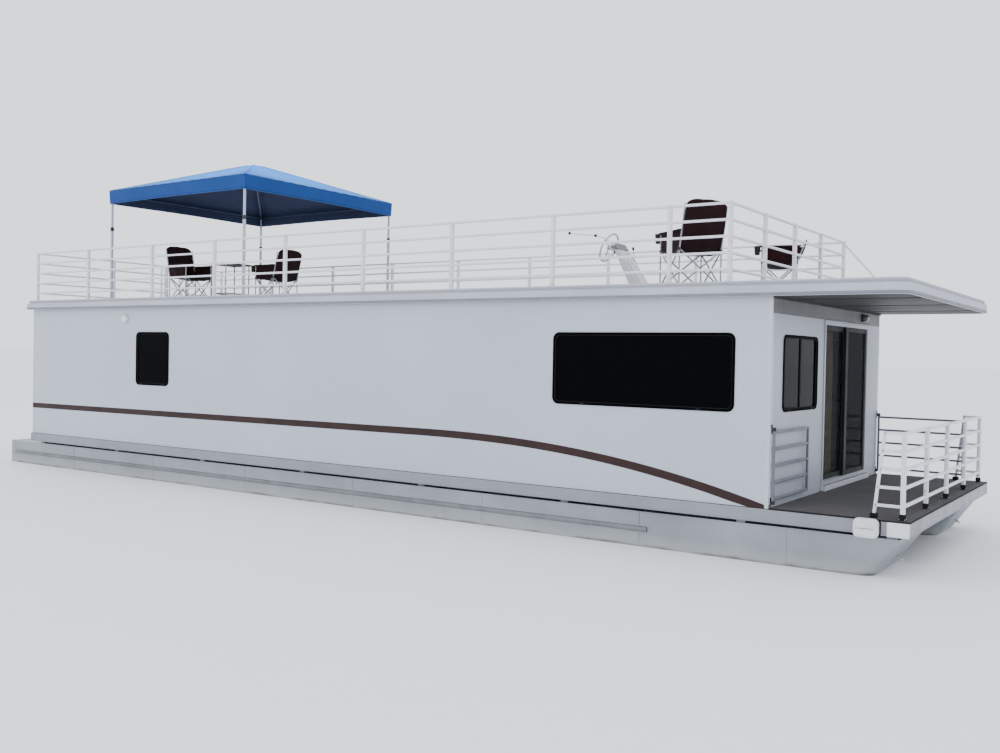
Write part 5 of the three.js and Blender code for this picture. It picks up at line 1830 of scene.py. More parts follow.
@dataclass
class Outboard:
    """The tilting outboard: bracket, swivel, cowl, leg and propeller.

    The cowl, pan, band, neck and leg are rows of height, front, back and half width; the blade is pairs
    of reach and chord.
    """

    tilt: Pair = (-7.745, 0.905)
    steer_x: float = -7.83
    gearcase_aft: float = -8.107
    shaft_z: float = 0.23
    cowl: Rows = (
        (1.14, -7.824, -8.329, 0.173), (1.18, -7.8215, -8.337, 0.1745), (1.245, -7.8195, -8.348, 0.1745),
        (1.32, -7.822, -8.346, 0.1735), (1.42, -7.836, -8.329, 0.168), (1.48, -7.851, -8.299, 0.156),
        (1.52, -7.883, -8.256, 0.134), (1.549, -7.928, -8.205, 0.102), (1.564, -7.982, -8.15, 0.064),
        (1.571, -8.03, -8.1, 0.028),
    )
    pan: Rows = (
        (1.0602, -7.842, -8.296, 0.15), (1.068, -7.832, -8.308, 0.162), (1.09, -7.826, -8.318, 0.171),
        (1.132, -7.8235, -8.328, 0.1735),
    )
    band: Rows = (
        (1.205, -7.8203, -8.3422, 0.1747), (1.209, -7.8188, -8.3442, 0.1757),
        (1.238, -7.8185, -8.3482, 0.1757), (1.242, -7.8195, -8.3482, 0.1747),
    )
    neck: Rows = (
        (0.9405, -7.806, -8.235, 0.07), (0.955, -7.797, -8.248, 0.08), (1.03, -7.796, -8.249, 0.081),
        (1.0597, -7.8, -8.244, 0.077),
    )
    leg: Rows = (
        (0.96, -7.886, -8.058, 0.046), (0.8, -7.886, -8.058, 0.045), (0.6, -7.89, -8.056, 0.042),
        (0.43, -7.894, -8.054, 0.036), (0.33, -7.896, -8.056, 0.032), (0.25, -7.89, -8.07, 0.04),
    )
    blade: tuple[Pair, ...] = (
        (0.036, 0.062), (0.055, 0.084), (0.078, 0.106), (0.102, 0.116), (0.124, 0.108), (0.14, 0.082),
        (0.149, 0.036),
    )
    blades: int = 3
    pitch: float = 0.34

    def build(self) -> None:
        """Makes the parts of each body."""
        self.bracket()
        self.swivel()
        self.powerhead()
        self.lower_unit()
        self.propeller()

    def bracket(self) -> None:
        """Two clamp plates over the transom with bolts, and the tilt ears."""
        plates = Shape().box((-7.7, -0.125, 0.62), (-7.6705, 0.125, 0.92))
        plates.box((-7.7, -0.125, 0.9125), (-7.58, 0.125, 0.934))
        ear = [
            (-7.785, 0.868), (-7.785, 0.932), (-7.77, 0.95), (-7.7, 0.95), (-7.69, 0.93), (-7.69, 0.72),
            (-7.7, 0.69),
        ]
        for y in (-0.107, 0.107):
            plates.prism([(x, y - 0.017, z) for x, z in ear], Y * 0.034)
        plates.piece("transom_clamp", Coat.MOTOR, slot="motor_metal", node="transom_bracket", bevel=0.005)
        rows = [[(-7.7, y, z) for z in (0.65, 0.86)] for y in (-0.06, 0.06)]
        studs("transom_clamp_bolts", rows, (-1, 0, 0), 0.1, 0.012, 0.014)
        handles = Shape()
        for y in (-0.085, 0.085):
            handles.rod((-7.5795, y, 0.88), (-7.545, y, 0.88), 0.007, 12)
            handles.rod((-7.548, y - 0.03, 0.88), (-7.548, y + 0.03, 0.88), 0.0055, 10)
            handles.turned(drum(0.016, -0.004, 0.004), (-7.5955, y, 0.88), X, 16)
        handles.piece("transom_clamp_screws", Coat.STAINLESS, sharp=45)

    def swivel(self) -> None:
        """The tilt tube, the steering column and the rams, on the swivel body."""
        (tilt_x, tilt_z), steer, body = self.tilt, self.steer_x, "swivel"
        tube = [(0, 0), (0.028, 0), (0.03, 0.003), (0.03, 0.1765), (0.028, 0.1794), (0, 0.1794)]
        column = [
            (0, 0), (0.036, 0), (0.042, 0.008), (0.042, 0.11), (0.045, 0.12), (0.045, 0.18), (0.042, 0.19),
            (0.042, 0.292), (0.036, 0.3), (0, 0.3),
        ]
        cast = Shape().turned(tube, (tilt_x, -0.0897, tilt_z), Y).turned(column, (steer, 0, 0.6), Z, 28)
        cast.turned(drum(0.03, 0, 0.0597), (steer, 0, 0.88), Z)
        web = [(steer, 0.615), (-7.79, 0.63), (-7.772, 0.7), (-7.772, 0.885), (steer, 0.885)]
        cast.prism([(x, -0.036, z) for x, z in web], Y * 0.072)
        cast.box((steer, -0.05, 0.88), (tilt_x, 0.05, 0.93))
        cast.piece("swivel_casting", Coat.MOTOR, body, "motor_metal", "motor_swivel", bevel=0.004)
        ram = Shape()
        for y in (-0.058, 0.058):
            ram.rod((-7.786, y, 0.655), (-7.765, y, 0.8), 0.011, 14)
            ram.rod((-7.765, y, 0.8), (-7.752, y, 0.885), 0.006, 12)
        ram.piece("swivel_rams", Coat.STAINLESS, body)

    def powerhead(self) -> None:
        """The cowl over its pan, with the seal, the grey band, the air louvres and the latch."""
        body = "motor"
        hood = Shape().skin(ovals(self.cowl, 3))
        hood.piece("motor_hood", Coat.COWL, body, "motor_cover", "motor_cowl", sharp=60, subdivide=1)
        Shape().skin(ovals(self.pan, 3.2)).piece("motor_pan", Coat.MOTOR, body, "motor_metal", sharp=45)
        seam = ovals([(1.136, -7.8265, -8.3255, 0.1712)], 3.1, 48)
        pipes("motor_hood_seal", seam, Coat.RUBBER, 0.0048, 0.004, body, loop=True)
        band = Shape().skin(ovals(self.band, 3, 48), caps=False)
        band.piece("motor_hood_band", Coat.COWL_BAND, body, sharp=60)
        row = [(-8.336, 0, 1.345), (-8.322, 0, 1.425)]
        slats("motor_air_louvres", row, Coat.BLACK_PLASTIC, 0.016, (0.007, 0.15, 0.012), (-1, 0, 0), body)
        latch = Shape().box((-7.8245, -0.03, 1.095), (-7.8135, 0.03, 1.128))
        latch.piece("motor_hood_latch", Coat.BLACK_PLASTIC, body, bevel=0.004)

    @staticmethod
    def foil(front: float, back: float, half: float) -> list[Pair]:
        """A leg section: round in front, fine at the back."""
        shares = (0, 0.02, 0.08, 0.18, 0.32, 0.5, 0.7, 0.88, 1)
        widths = (0, 0.32, 0.66, 0.9, 1, 0.96, 0.72, 0.36, 0.1)
        edge = [(lerp(front, back, t), half * w) for t, w in zip(shares, widths)]
        return edge + [(x, -y) for x, y in reversed(edge[1:])]

    def lower_unit(self) -> None:
        """The neck, the foil-shaped leg, the plates, the gearcase and the skeg."""
        body = "motor"
        leg = Shape().skin(ovals(self.neck, 3.4))
        leg.skin([(x, y, z) for x, y in self.foil(*plan)] for z, *plan in self.leg)
        plate = superellipse(-7.872, -8.188, 0.094, 3)
        for z, thick, shrink in ((0.394, 0.012, 1), (0.56, 0.008, 0.72)):
            leg.prism([(x, y * shrink, z) for x, y in plate], Z * thick)
        nose = [
            (0, 0), (0.012, 0.003), (0.026, 0.014), (0.037, 0.036), (0.044, 0.06), (0.049, 0.09),
            (0.05, 0.12), (0.05, 0.18), (0.048, 0.23), (0.043, 0.255), (0.04, 0.2617), (0, 0.2617),
        ]
        leg.turned(nose, (self.gearcase_aft + 0.262, 0, self.shaft_z), -X, 28)
        skeg = [(-7.95, 0.24), (-7.985, 0.075), (-8, 0.062), (-8.055, 0.062), (-8.066, 0.075), (-8.095, 0.24)]
        leg.skin([(x, y * lerp(0.35, 1, (z - 0.06) / 0.18), z) for x, z in skeg] for y in (-0.006, 0.006))
        leg.piece("motor_leg_casting", Coat.MOTOR, body, "motor_metal", "motor_leg", bevel=0.002, sharp=40)
        tab = Shape().skin(ovals([(z, -8.075, -8.165, 0.012) for z in (0.352, 0.3938)], 2.4, 16))
        tab.piece("motor_trim_tab", Coat.ZINC, body, bevel=0.003)
        row = along_x((-7.925, -7.995), 0, 0.33)
        slats("motor_water_inlets", row, Coat.BLACK_PLASTIC, 0.012, (0.005, 0.076, 0.032), (0, 0, 1), body)

    def blade_ring(self, reach: float, chord: float) -> list[Vector]:
        """One lens-shaped section of the blade that points up, round the hub's middle."""
        share = reach / self.blade[-1][0]
        slope, thick = math.atan2(self.pitch, 2 * math.pi * reach), lerp(0.005, 0.0012, share)
        cos, sin = math.cos(slope), math.sin(slope)
        ring = []
        for c, s in circle(1, 12):
            u, v = chord / 2 * c, thick * s
            turn = (u * cos + v * sin) / reach + 0.14 * share ** 2
            ring.append(Vector(((v * cos - u * sin) * 0.62, reach * math.sin(turn), reach * math.cos(turn))))
        return ring

    def propeller(self) -> None:
        """A hub with twisted blades, and its nut."""
        body, start = "propeller", Vector((self.gearcase_aft - 0.0003, 0, self.shaft_z))
        hub = [
            (0, 0), (0.043, 0), (0.044, 0.004), (0.044, 0.05), (0.041, 0.072), (0.036, 0.0855),
            (0.028, 0.086), (0.026, 0.08), (0, 0.08),
        ]
        casting = Shape().turned(hub, start, -X, 36)
        middle = start - X * 0.043
        for i in range(self.blades):
            spin = Matrix.Rotation(2 * math.pi * i / self.blades, 3, "X")
            casting.skin([middle + spin @ point for point in self.blade_ring(*row)] for row in self.blade)
        casting.piece("propeller_casting", Coat.PROPELLER, body, "propeller_metal", "propeller", sharp=50)
        end = middle - X * 0.036
        nut = Shape().turned(drum(0.016, 0, 0.01), end, -X, 6)
        nut.turned([(0, 0.008), (0.008, 0.008), (0.007, 0.013), (0, 0.013)], end, -X, 14)
        nut.piece("propeller_nut", Coat.STAINLESS, body)


@dataclass
class Helm:
    """The helm station: a slim console that leans aft, its gauge head, wheel, throttle and swing arm.

    The aft and fore faces are given by their distance from x at the foot and at the top.
    """

    x: float = 4.45
    y: float = -0.7
    half: float = 0.16
    foot: float = 3.3755
    top: float = 4.02
    aft: Pair = (0.182, -0.136)
    fore: Pair = (0.352, -0.09)
    head: float = 3.935
    wheel: Pair = (4.204, 3.975)
    wheel_radius: float = 0.19
    lean: float = 0.45

    @property
    def axis(self) -> Vector:
        """The way that the wheel's face points: aft and up."""
        return Vector((-math.cos(self.lean), 0, math.sin(self.lean)))

    @property
    def centre(self) -> Vector:
        """The middle of the wheel."""
        return Vector((self.wheel[0], self.y, self.wheel[1]))

    def edge(self, ends: Pair, z: float) -> Vector:
        """A point at a height on the console's aft or fore face, in its middle plane."""
        share = (z - self.foot) / (self.top - self.foot)
        return Vector((self.x + lerp(*ends, share), self.y, z))

    def block(self, *outline: Vector) -> Shape:
        """A block as wide as the console, from its side outline in the middle plane."""
        return Shape().prism([point - Y * self.half for point in outline], Y * (2 * self.half))

    def build(self) -> None:
        """Makes the console and all that is on it."""
        self.console()
        self.hatch()
        self.gauges()
        self.controls()
        self.arm()
        self.steering_wheel()

    def console(self) -> None:
        """The leaning body with its plinth, and the boss of the wheel's shaft."""
        aft, fore, foot, seam, reach = self.aft, self.fore, self.foot, self.head - 0.002, self.half + 0.008
        spots = ((aft, foot), (fore, foot), (fore, seam), (aft, seam))
        body = self.block(*(self.edge(*spot) for spot in spots))
        body.piece("helm_body", Coat.HELM, slot="helm_shell", node="helm_console", bevel=0.014, sharp=25)
        profile = [
            (0, 0), (0.03, 0), (0.032, 0.003), (0.032, 0.036), (0.037, 0.042), (0.037, 0.058), (0.032, 0.064),
            (0.032, 0.145), (0, 0.145),
        ]
        boss = Shape().turned(profile, self.centre - self.axis * 0.1003, -self.axis)
        boss.piece("helm_wheel_boss", Coat.BLACK_PLASTIC)
        low, high = self.edge(aft, foot), self.edge(fore, foot + 0.026)
        plinth = Shape().box((low.x - 0.01, self.y - reach, low.z), (high.x + 0.012, self.y + reach, high.z))
        plinth.piece("helm_plinth", Coat.RUBBER, bevel=0.006)

    def hatch(self) -> None:
        """An access hatch with a turn latch on the fore face."""
        low, high = self.edge(self.fore, self.foot), self.edge(self.fore, self.head)
        slope, centre = (high - low).normalized(), low.lerp(high, 0.46)
        out = Vector((slope.z, 0, -slope.x))
        outline = [centre + Y * u + slope * v + out * 0.0005 for u, v in rounded(0.11, 0.19, 0.03, 5)]
        Shape().prism(outline, out * 0.007).piece("helm_hatch", Coat.HELM, bevel=0.003)
        profile = [(0, 0), (0.017, 0), (0.017, 0.004), (0.006, 0.006), (0, 0.006)]
        latch = Shape().turned(profile, centre + slope * 0.16 + out * 0.0073, out, 18)
        latch.piece("helm_hatch_latch", Coat.STAINLESS)

    def gauges(self) -> None:
        """The gauge head with three blank dials that face the helm, and a row of switches below."""
        low, rise = Vector((self.x - 0.14, self.y, self.top - 0.062)), Vector((0.03, 0, 0.062))
        spots = ((self.aft, self.head), (self.fore, self.head), (self.fore, self.top))
        head = self.block(*(self.edge(*spot) for spot in spots), low + rise, low)
        head.piece("helm_head", Coat.HELM_HEAD, bevel=0.005)
        slope = rise.normalized()
        out = Vector((-slope.z, 0, slope.x))
        rims, faces, needles = Shape(), Shape(), Shape()
        rim = [
            (0, -0.004), (0.031, -0.004), (0.031, 0.004), (0.028, 0.006), (0.025, 0.004), (0.025, 0.0005),
            (0, 0.0005),
        ]
        for i in (-1, 0, 1):
            centre = low.lerp(low + rise, 0.5) + Y * 0.1 * i + out * 0.0005
            rims.turned(rim, centre, out, 28)
            faces.turned(drum(0.0246, 0, 0.0016), centre, out)
            start, needle = centre + out * 0.0026, slope * math.cos(0.9 * i) + Y * math.sin(0.9 * i)
            needles.bar(start, start + needle * 0.019, 0.0025, 0.0012, 0.0005)
        rims.piece("helm_dial_rims", Coat.STAINLESS)
        faces.piece("helm_dial_faces", Coat.DIAL)
        needles.piece("helm_dial_needles", Coat.BLACK_PLASTIC)
        row = [self.edge(self.aft, z) + Y * 0.105 for z in (3.88, 3.7)]
        down = row[1] - row[0]
        slats("helm_switches", row, Coat.BLACK_PLASTIC, 0.04, (0.022, 0.034, 0.01), (down.z, 0, -down.x))

    def controls(self) -> None:
        """The throttle box and its lever, on the console's port side."""
        middle = self.edge(self.aft, 3.79).lerp(self.edge(self.fore, 3.79), 0.5)
        face = Face(middle + Y * self.half, X, Y)
        shift = self.aft[0] + self.fore[0] - self.aft[1] - self.fore[1]
        turn = math.atan2(shift / 2, self.top - self.foot)
        cos, sin = math.cos(turn), math.sin(turn)
        outline = [(u * cos - v * sin, u * sin + v * cos) for u, v in rounded(0.029, 0.056, 0.018, 5)]
        box = face.slab(outline, -0.0005, 0.032)
        box.turned([(0, 0.03), (0.024, 0.03), (0.022, 0.042), (0, 0.044)], face.at(0, 0.012), Y)
        box.piece("helm_throttle_box", Coat.BLACK_PLASTIC, bevel=0.004)
        lever = [face.at(0, 0.012, 0.036), face.at(-0.01, 0.12, 0.036), face.at(-0.014, 0.165, 0.03)]
        pipes("helm_throttle_lever", [lever], Coat.STAINLESS, 0.006, 0.02)
        profile = [(0, 0), (0.012, 0.002), (0.016, 0.016), (0.015, 0.034), (0.009, 0.044), (0, 0.046)]
        grip = Shape().turned(profile, face.at(-0.014, 0.155, 0.031), Z, 20)
        grip.piece("helm_throttle_grip", Coat.BLACK_PLASTIC)

    def arm(self) -> None:
        """A thin jointed arm with two dark knobs, swung aft from the head's starboard side."""
        root, y, r = Vector((self.x - 0.093, self.y - self.half, 3.988)), self.y - 0.245, 0.021
        points = [root, (root.x, y, 3.994), (4.33, y, 4.052), (4.139, y, 4.109), (3.748, y, 4.16)]
        pipes("helm_arm", [points], Coat.RAIL, 0.0085, 0.03)
        turns = (i * math.pi / 10 for i in range(1, 10))
        ball = [(0, -r), *((r * math.sin(turn), -r * math.cos(turn)) for turn in turns), (0, r)]
        knobs = Shape()
        for point in points[3:]:
            knobs.turned(ball, point, Z, 20)
        knobs.piece("helm_arm_knobs", Coat.BLACK_PLASTIC)
        profile = [(0, 0), (0.024, 0), (0.024, 0.005), (0.013, 0.014), (0, 0.014)]
        Shape().turned(profile, root, -Y).piece("helm_arm_foot", Coat.STAINLESS)

    def steering_wheel(self) -> None:
        """A stainless three-spoke wheel with a padded rim, on its own body."""
        body, centre, axis = "helm_wheel", self.centre, self.axis
        up = Y.cross(axis).normalized()
        rings = []
        for c, s in circle(1, 48):
            point = centre + (Y * c + up * s) * self.wheel_radius
            away = (point - centre).normalized()
            rings.append([point + away * u + axis * v for u, v in circle(0.0125, 12)])
        rim = Shape().skin(rings, loop=True)
        rim.piece("helm_wheel_rim", Coat.HELM, body, "wheel_plastic", "helm_wheel")
        spokes = Shape()
        for i, offset in product(range(3), (-0.01, 0.01)):
            turn = -math.pi / 2 + i * 2 * math.pi / 3
            away = Y * math.cos(turn) + up * math.sin(turn)
            across = axis.cross(away) * offset
            spokes.rod(centre + away * 0.02 + across, centre + away * 0.182 + across * 0.5, 0.0045, 10)
        hub = [
            (0, -0.1), (0.018, -0.1), (0.018, -0.02), (0.028, -0.008), (0.034, 0.004), (0.03, 0.012),
            (0, 0.016),
        ]
        spokes.turned(hub, centre, axis, 28).piece("helm_wheel_spokes", Coat.STAINLESS, body, sharp=50)


@dataclass
class Canopy:
    """The square sun canopy: one cloth with a valance, on a frame with four legs."""

    x: float = -3.388
    half: float = 1.74
    valance: float = 5.06
    eave: float = 5.285
    peak: float = 5.88
    leg_at: float = 1.7
    leg: float = 0.038
    bar: float = 0.024
    bar_z: float = 5.225
    deck: float = 3.3755
    sag: float = 0.05
    side_steps: int = 28
    ring_steps: int = 20
    valance_steps: int = 6
    cut: float = 4.15
    cut_area: float = 16

    def edge(self, t: float) -> tuple[float, float, float]:
        """A place on the square edge at t from 0 to 4: its x and y from -1 to 1, and its place on a side."""
        s = 2 * (t % 1) - 1
        return (*((s, -1), (1, s), (-s, 1), (-1, -s))[int(t) % 4], s)

    def cloth_point(self, reach: float, t: float) -> Vector:
        """The cloth's point at a share of the way from the peak to the eave."""
        u, v, s = self.edge(t)
        droop = self.sag * math.sin(math.pi * min(1, reach * 1.02)) * (1 - s * s)
        pucker = 0.004 * reach ** 4 * math.cos(14 * math.pi * s) * (1 - s * s)
        height = lerp(self.peak, self.eave, reach) - droop + pucker
        soft = 0.016 * math.exp(-reach * 16)
        return Vector((self.x + u * reach * self.half, v * reach * self.half, height - soft))

    def valance_point(self, drop: float, t: float) -> Vector:
        """The valance's point at a share of its drop; it waves a little at the hem."""
        u, v, s = self.edge(t)
        wave = (0.005 * math.sin(11 * math.pi * s + t) - 0.004) * drop * (1 - s ** 8)
        reach = self.half - 0.01 * drop + wave
        rise = 0.01 * drop * math.sin(math.pi * (s + 1) / 2) ** 2
        return Vector((self.x + u * reach, v * reach, lerp(self.eave, self.valance, drop) + rise))

    def build(self) -> None:
        """Makes the cloth, its seams and hem, and the frame."""
        steps, rings, drops, half = self.side_steps, self.ring_steps, self.valance_steps, self.half
        places = [i / steps for i in range(4 * steps)]
        rows = [[self.cloth_point(k / rings, t) for t in places] for k in range(1, rings + 1)]
        rows += [[self.valance_point(k / drops, t) for t in places] for k in range(1, drops + 1)]
        cloth = Shape()
        uv = cloth.mesh.loops.layers.uv.new("cut")
        made = [[cloth.mesh.verts.new(point) for point in row] for row in rows]
        tip = cloth.mesh.verts.new((self.x, 0, self.peak - 0.016))
        slant, drop = math.hypot(half, self.peak - self.eave), (self.eave - self.valance) / drops
        lengths = [slant * (k + 1) / rings for k in range(rings)]
        lengths += [slant + drop * (k + 1) for k in range(drops)]

        def flat(side: int, step: int, k: int) -> Pair:
            """Where a row's point at a step along one side lies in that side's cut."""
            return (2 * step / steps - 1) * min(1, (k + 1) / rings) * half + 4 * side, lengths[k]

        for i in range(4 * steps):
            j, (side, step) = (i + 1) % (4 * steps), divmod(i, steps)
            u, v = flat(side, step, 0)
            cloth.patch(uv, (made[0][i], made[0][j], tip), ((u, v), (u + 0.01, v), (4 * side, 0)))
            for k, (one, two) in enumerate(zip(made, made[1:])):
                corners = ((step, k), (step, k + 1), (step + 1, k + 1), (step + 1, k))
                cloth.patch(uv, (one[i], two[i], two[j], one[j]), [flat(side, *corner) for corner in corners])
        cover = cloth.piece("canopy_cloth", Coat.CANVAS, slot="canopy_fabric", node="canopy_top", sharp=75)
        cover.data.materials.append(Coat.CANVAS_LINING.material())
        lining = cover.modifiers.new("lining", "SOLIDIFY")
        lining.thickness, lining.offset, lining.material_offset = 0.0016, -1, 1
        trims = self.seams(places)
        self.frame()

    def seams(self, places: Sequence[float]) -> list[Thing]:
        """Tape over the hips and the eave, the hem, and the stitches beside the tape."""
        tape = Coat.CANVAS_SEAM
        hips = [[self.cloth_point(k / 24, corner) + Z * 0.001 for k in range(1, 25)] for corner in range(4)]
        made = [
            pipes("canopy_hip_seams", hips, tape, 0.0045),
            pipes("canopy_eave_seam", [[self.cloth_point(1, t) for t in places]], tape, 0.0038, loop=True),
            pipes("canopy_hem", [[self.valance_point(1, t) for t in places]], tape, 0.0042, loop=True),
        ]
        spots = (0.02, 0.25, 0.5, 0.75, 0.98)
        for number, out in enumerate(((0, -1, 0), (1, 0, 0), (0, 1, 0), (-1, 0, 0))):
            rows = [
                [self.valance_point(drop, number + s) + Vector(out) * 0.0008 for s in spots]
                for drop in (0.07, 0.91)
            ]
            made.append(studs(f"canopy_stitches_{number}", rows, out, 0.024, 0.0022, 0.0016, tape))
        return made

    def frame(self) -> None:
        """The telescoping legs with feet and sliders, the eave bars, hips and peak hub."""
        legs, uppers, joints, feet, bars, hips = (Shape() for _ in range(6))
        at, deck, z, posts = self.leg_at, self.deck, self.bar_z, []
        for sx, sy in product(BOTH, BOTH):
            x, y = self.x + sx * at, sy * at
            posts.append((x, y))
            legs.bar((x, y, deck + 0.006), (x, y, 4.62), self.leg, corner=0.005)
            uppers.bar((x, y, 4.6), (x, y, 5.268), self.leg - 0.006)
            for half, low, high in ((0.024, 4.585, 4.65), (0.025, 5.195, 5.262)):
                joints.box((x - half, y - half, low), (x + half, y + half, high))
            feet.prism([(x + u, y + v, deck) for u, v in rounded(0.05, 0.05, 0.012, 3)], Z * 0.007)
            hips.bar((x - sx * 0.02, y - sy * 0.02, z), (self.x, 0, self.peak - 0.09), self.bar)
        for way in BOTH:
            bars.bar(*along_y(self.x + way * at, (-at, at), z), self.bar)
            bars.bar(*along_x((self.x - at, self.x + at), way * at, z), self.bar)
        legs.piece("canopy_legs", Coat.CANOPY_LEG, slot="rail_paint", node="canopy_frame", sharp=50)
        uppers.piece("canopy_upper_legs", Coat.CANOPY_LEG, sharp=50)
        # Bars and hips take painted shade under the canopy, tinted blue as light thrown from the canvas.
        bars.piece("canopy_eave_bars", Coat.CANOPY_BAR, sharp=50)
        hips.piece("canopy_hips", Coat.CANOPY_BAR, sharp=50)
        joints.box((self.x - 0.035, -0.035, self.peak - 0.155), (self.x + 0.035, 0.035, self.peak - 0.062))
        joints.piece("canopy_joints", Coat.BLACK_PLASTIC, bevel=0.006)
        feet.piece("canopy_feet", Coat.CANOPY_LEG, bevel=0.002)
        plate_screws("canopy_foot_screws", posts, 0.038, deck + 0.008, 0.004)


@dataclass
class FoldingChair:
    """A folding camp chair: crossed legs, a slung seat and back, padded arms and a cup holder."""

    name: str
    x: float
    y: float
    turn: float
    back: float
    deck: float = 3.375
    front: float = 0.235
    rear: float = -0.205
    half: float = 0.28
    seat: float = 0.44
    arm: float = 0.655
    tube: float = 0.0095
    crown: float = 0.055
    hollow: float = 0.034

    def at(self, x: float, y: float, z: float) -> Vector:
        """A point of the chair's own frame, where it faces +X, in the boat's frame."""
        c, s = math.cos(math.radians(self.turn)), math.sin(math.radians(self.turn))
        return Vector((self.x + c * x - s * y, self.y + s * x + c * y, self.deck + z))

    def lean(self, z: float) -> float:
        """How far aft of its foot the back post is at a height over the roof."""
        return 0.12 * (z - self.seat) / (self.back - self.seat)

    def build(self) -> None:
        """Makes the tubes, feet and pivots, the sling, the arms and the cup holder."""
        self.tubes()
        self.sling()
        self.arms()

    def tubes(self) -> None:
        """Round tubes along the solid frame's own lines."""
        name, at, low, seat, head = self.name, self.at, 0.012, self.seat, self.back - self.crown
        half, front, rear, ahead = self.half, self.front, self.rear, self.at(1, 0, 0) - self.at(0, 0, 0)
        paths = [[at(x, y, low), at(x, -y, seat)] for x, y in product((front, rear), (-half, half))]
        for y in (-half, half):
            paths += [
                [at(rear, y, low), at(front, y, seat)],
                [at(front, y, low), at(rear, y, seat)],
                [at(front, y, low), at(front, y, self.arm - 0.004)],
                [at(rear, y, low), at(rear, y, seat), at(rear - self.lean(head), y, head)],
            ]
        node = f"{name}_frame"
        pipes(f"{name}_tubes", paths, Coat.CHAIR_TUBE, self.tube, 0.03, slot="chair_metal", node=node)
        feet, pivots = Shape(), Shape()
        foot = [(0, 0), (0.021, 0), (0.022, 0.008), (0.015, 0.026), (0.013, 0.04), (0, 0.04)]
        for x in (front, rear):
            for y in (-half, half):
                feet.turned(foot, at(x, y, 0.0005), Z, 16)
                pivots.turned(drum(0.015, -0.016, 0.016), at(x, y, seat), Z, 14)
            pivots.turned(drum(0.008, -0.013, 0.013), at(x, 0, (low + seat) / 2), ahead, 12)
        feet.piece(f"{name}_feet", Coat.BLACK_PLASTIC)
        pivots.piece(f"{name}_pivots", Coat.BLACK_PLASTIC)

    def sling_line(self) -> list[Pair]:
        """The cloth's middle line, as (x, z), from the seat's front edge to the head of the back."""
        front, rear, seat = self.front, self.rear, self.seat + 0.018
        points = [(front + 0.006, seat - 0.02), (front, seat)]
        for t in (i / 10 for i in range(1, 10)):
            points.append((lerp(front, rear + 0.02, t), seat - 0.05 * math.sin(math.pi * t)))
        for t in (i / 11 for i in range(12)):
            x = lerp(rear + 0.01, rear - 0.118, t) - 0.02 * math.sin(math.pi * t)
            points.append((x, lerp(seat + 0.012, self.back - 0.004, t)))
        return points

    def sling(self) -> None:
        """One cloth from the front bar to the head, sagged between the side bars and bound at its edges."""
        name, line, columns, half = self.name, self.sling_line(), 22, self.half - 0.006
        last, bend = len(line) - 1, 12

        def place(i: int, k: int) -> Vector:
            """The cloth's point at column i across and row k of the line; the back starts at the bend."""
            (x, z), s = line[k], 2 * i / columns - 1
            dip = math.sin(math.pi * min(1, max(0, (k - 1) / (last - 1))))
            hollow = self.hollow * (1 - s * s) * dip
            crease = 0.0022 * math.sin(9 * s + k * 0.7) * (1 - s * s)
            if k < bend:
                return self.at(x, s * half, z - hollow + crease)
            rise = (k - bend) / (last - bend)
            crown = self.crown * rise ** 2 * abs(s) ** 4
            return self.at(x - hollow * 0.7, s * half * (1 - 0.05 * rise ** 6 * s ** 8), z - crown + crease)

        run = [0, *accumulate(math.dist(a, b) for a, b in zip(line, line[1:]))]
        canvas = Shape().cloth(place, columns, 2 * half, run).piece(
            f"{name}_canvas", Coat.CHAIR_CLOTH, slot="chair_fabric", node=f"{name}_sling", sharp=70,
        )
        edges = [[place(i, k) for k in range(last + 1)] for i in (0, columns)]
        edges += [[place(i, k) for i in range(columns + 1)] for k in (0, last)]
        binding = pipes(f"{name}_binding", edges, Coat.CHAIR_BINDING, 0.006, 0.004)

    def arms(self) -> None:
        """Padded fabric arms, the cloth that hangs from each to the seat, and the cup holder."""
        name, steps = self.name, 16
        for number, y in enumerate((-self.half, self.half)):
            self.side_cloth(number, y)
            rings = []
            for t in (k / steps for k in range(steps + 1)):
                x = lerp(self.rear - 0.052, self.front + 0.052, t)
                z = self.arm + 0.002 - 0.006 * math.sin(math.pi * t)
                swell = math.sqrt(max(0, 1 - (2 * t - 1) ** 8))
                thick = 0.015 * max(0.35, swell)
                outline = rounded(0.029 * max(0.3, swell), thick, thick * 0.9, 3)
                rings.append([self.at(x, y + u, z + v) for u, v in outline])
            pad = Shape().skin(rings).piece(f"{name}_arm_pad_{number}", Coat.CHAIR_CLOTH, slot="chair_fabric")
        wall = [
            (0, 0), (0.03, 0), (0.033, 0.004), (0.042, 0.108), (0.045, 0.112), (0.042, 0.115), (0.039, 0.112),
            (0.031, 0.01), (0, 0.008),
        ]
        cup = Shape().turned(wall, self.at(self.front + 0.062, self.half, self.arm - 0.112), Z)
        cup.piece(f"{name}_cup_holder", Coat.CHAIR_BINDING)

    def side_cloth(self, number: int, y: float) -> None:
        """One side's cloth, hung from the arm down to the seat's edge with a slack lower edge."""
        name, columns, rows, way = self.name, 20, 10, math.copysign(1, y)
        top, low = self.arm - 0.01, self.seat - 0.006

        def place(i: int, j: int) -> Vector:
            """The cloth's point at column i from the front post and row j down from the arm."""
            t, drop = i / columns, j / rows
            z = lerp(top, low - 0.03 * math.sin(math.pi * t), drop)
            x = lerp(self.front - 0.004, self.rear - max(0, self.lean(z)), t)
            belly = 0.016 * math.sin(math.pi * t) * math.sin(math.pi * min(1, 0.15 + 0.8 * drop))
            fold = 0.0025 * math.sin(11 * t + 3 * drop) * math.sin(math.pi * drop)
            return self.at(x, y + way * (belly + fold - 0.003), z)

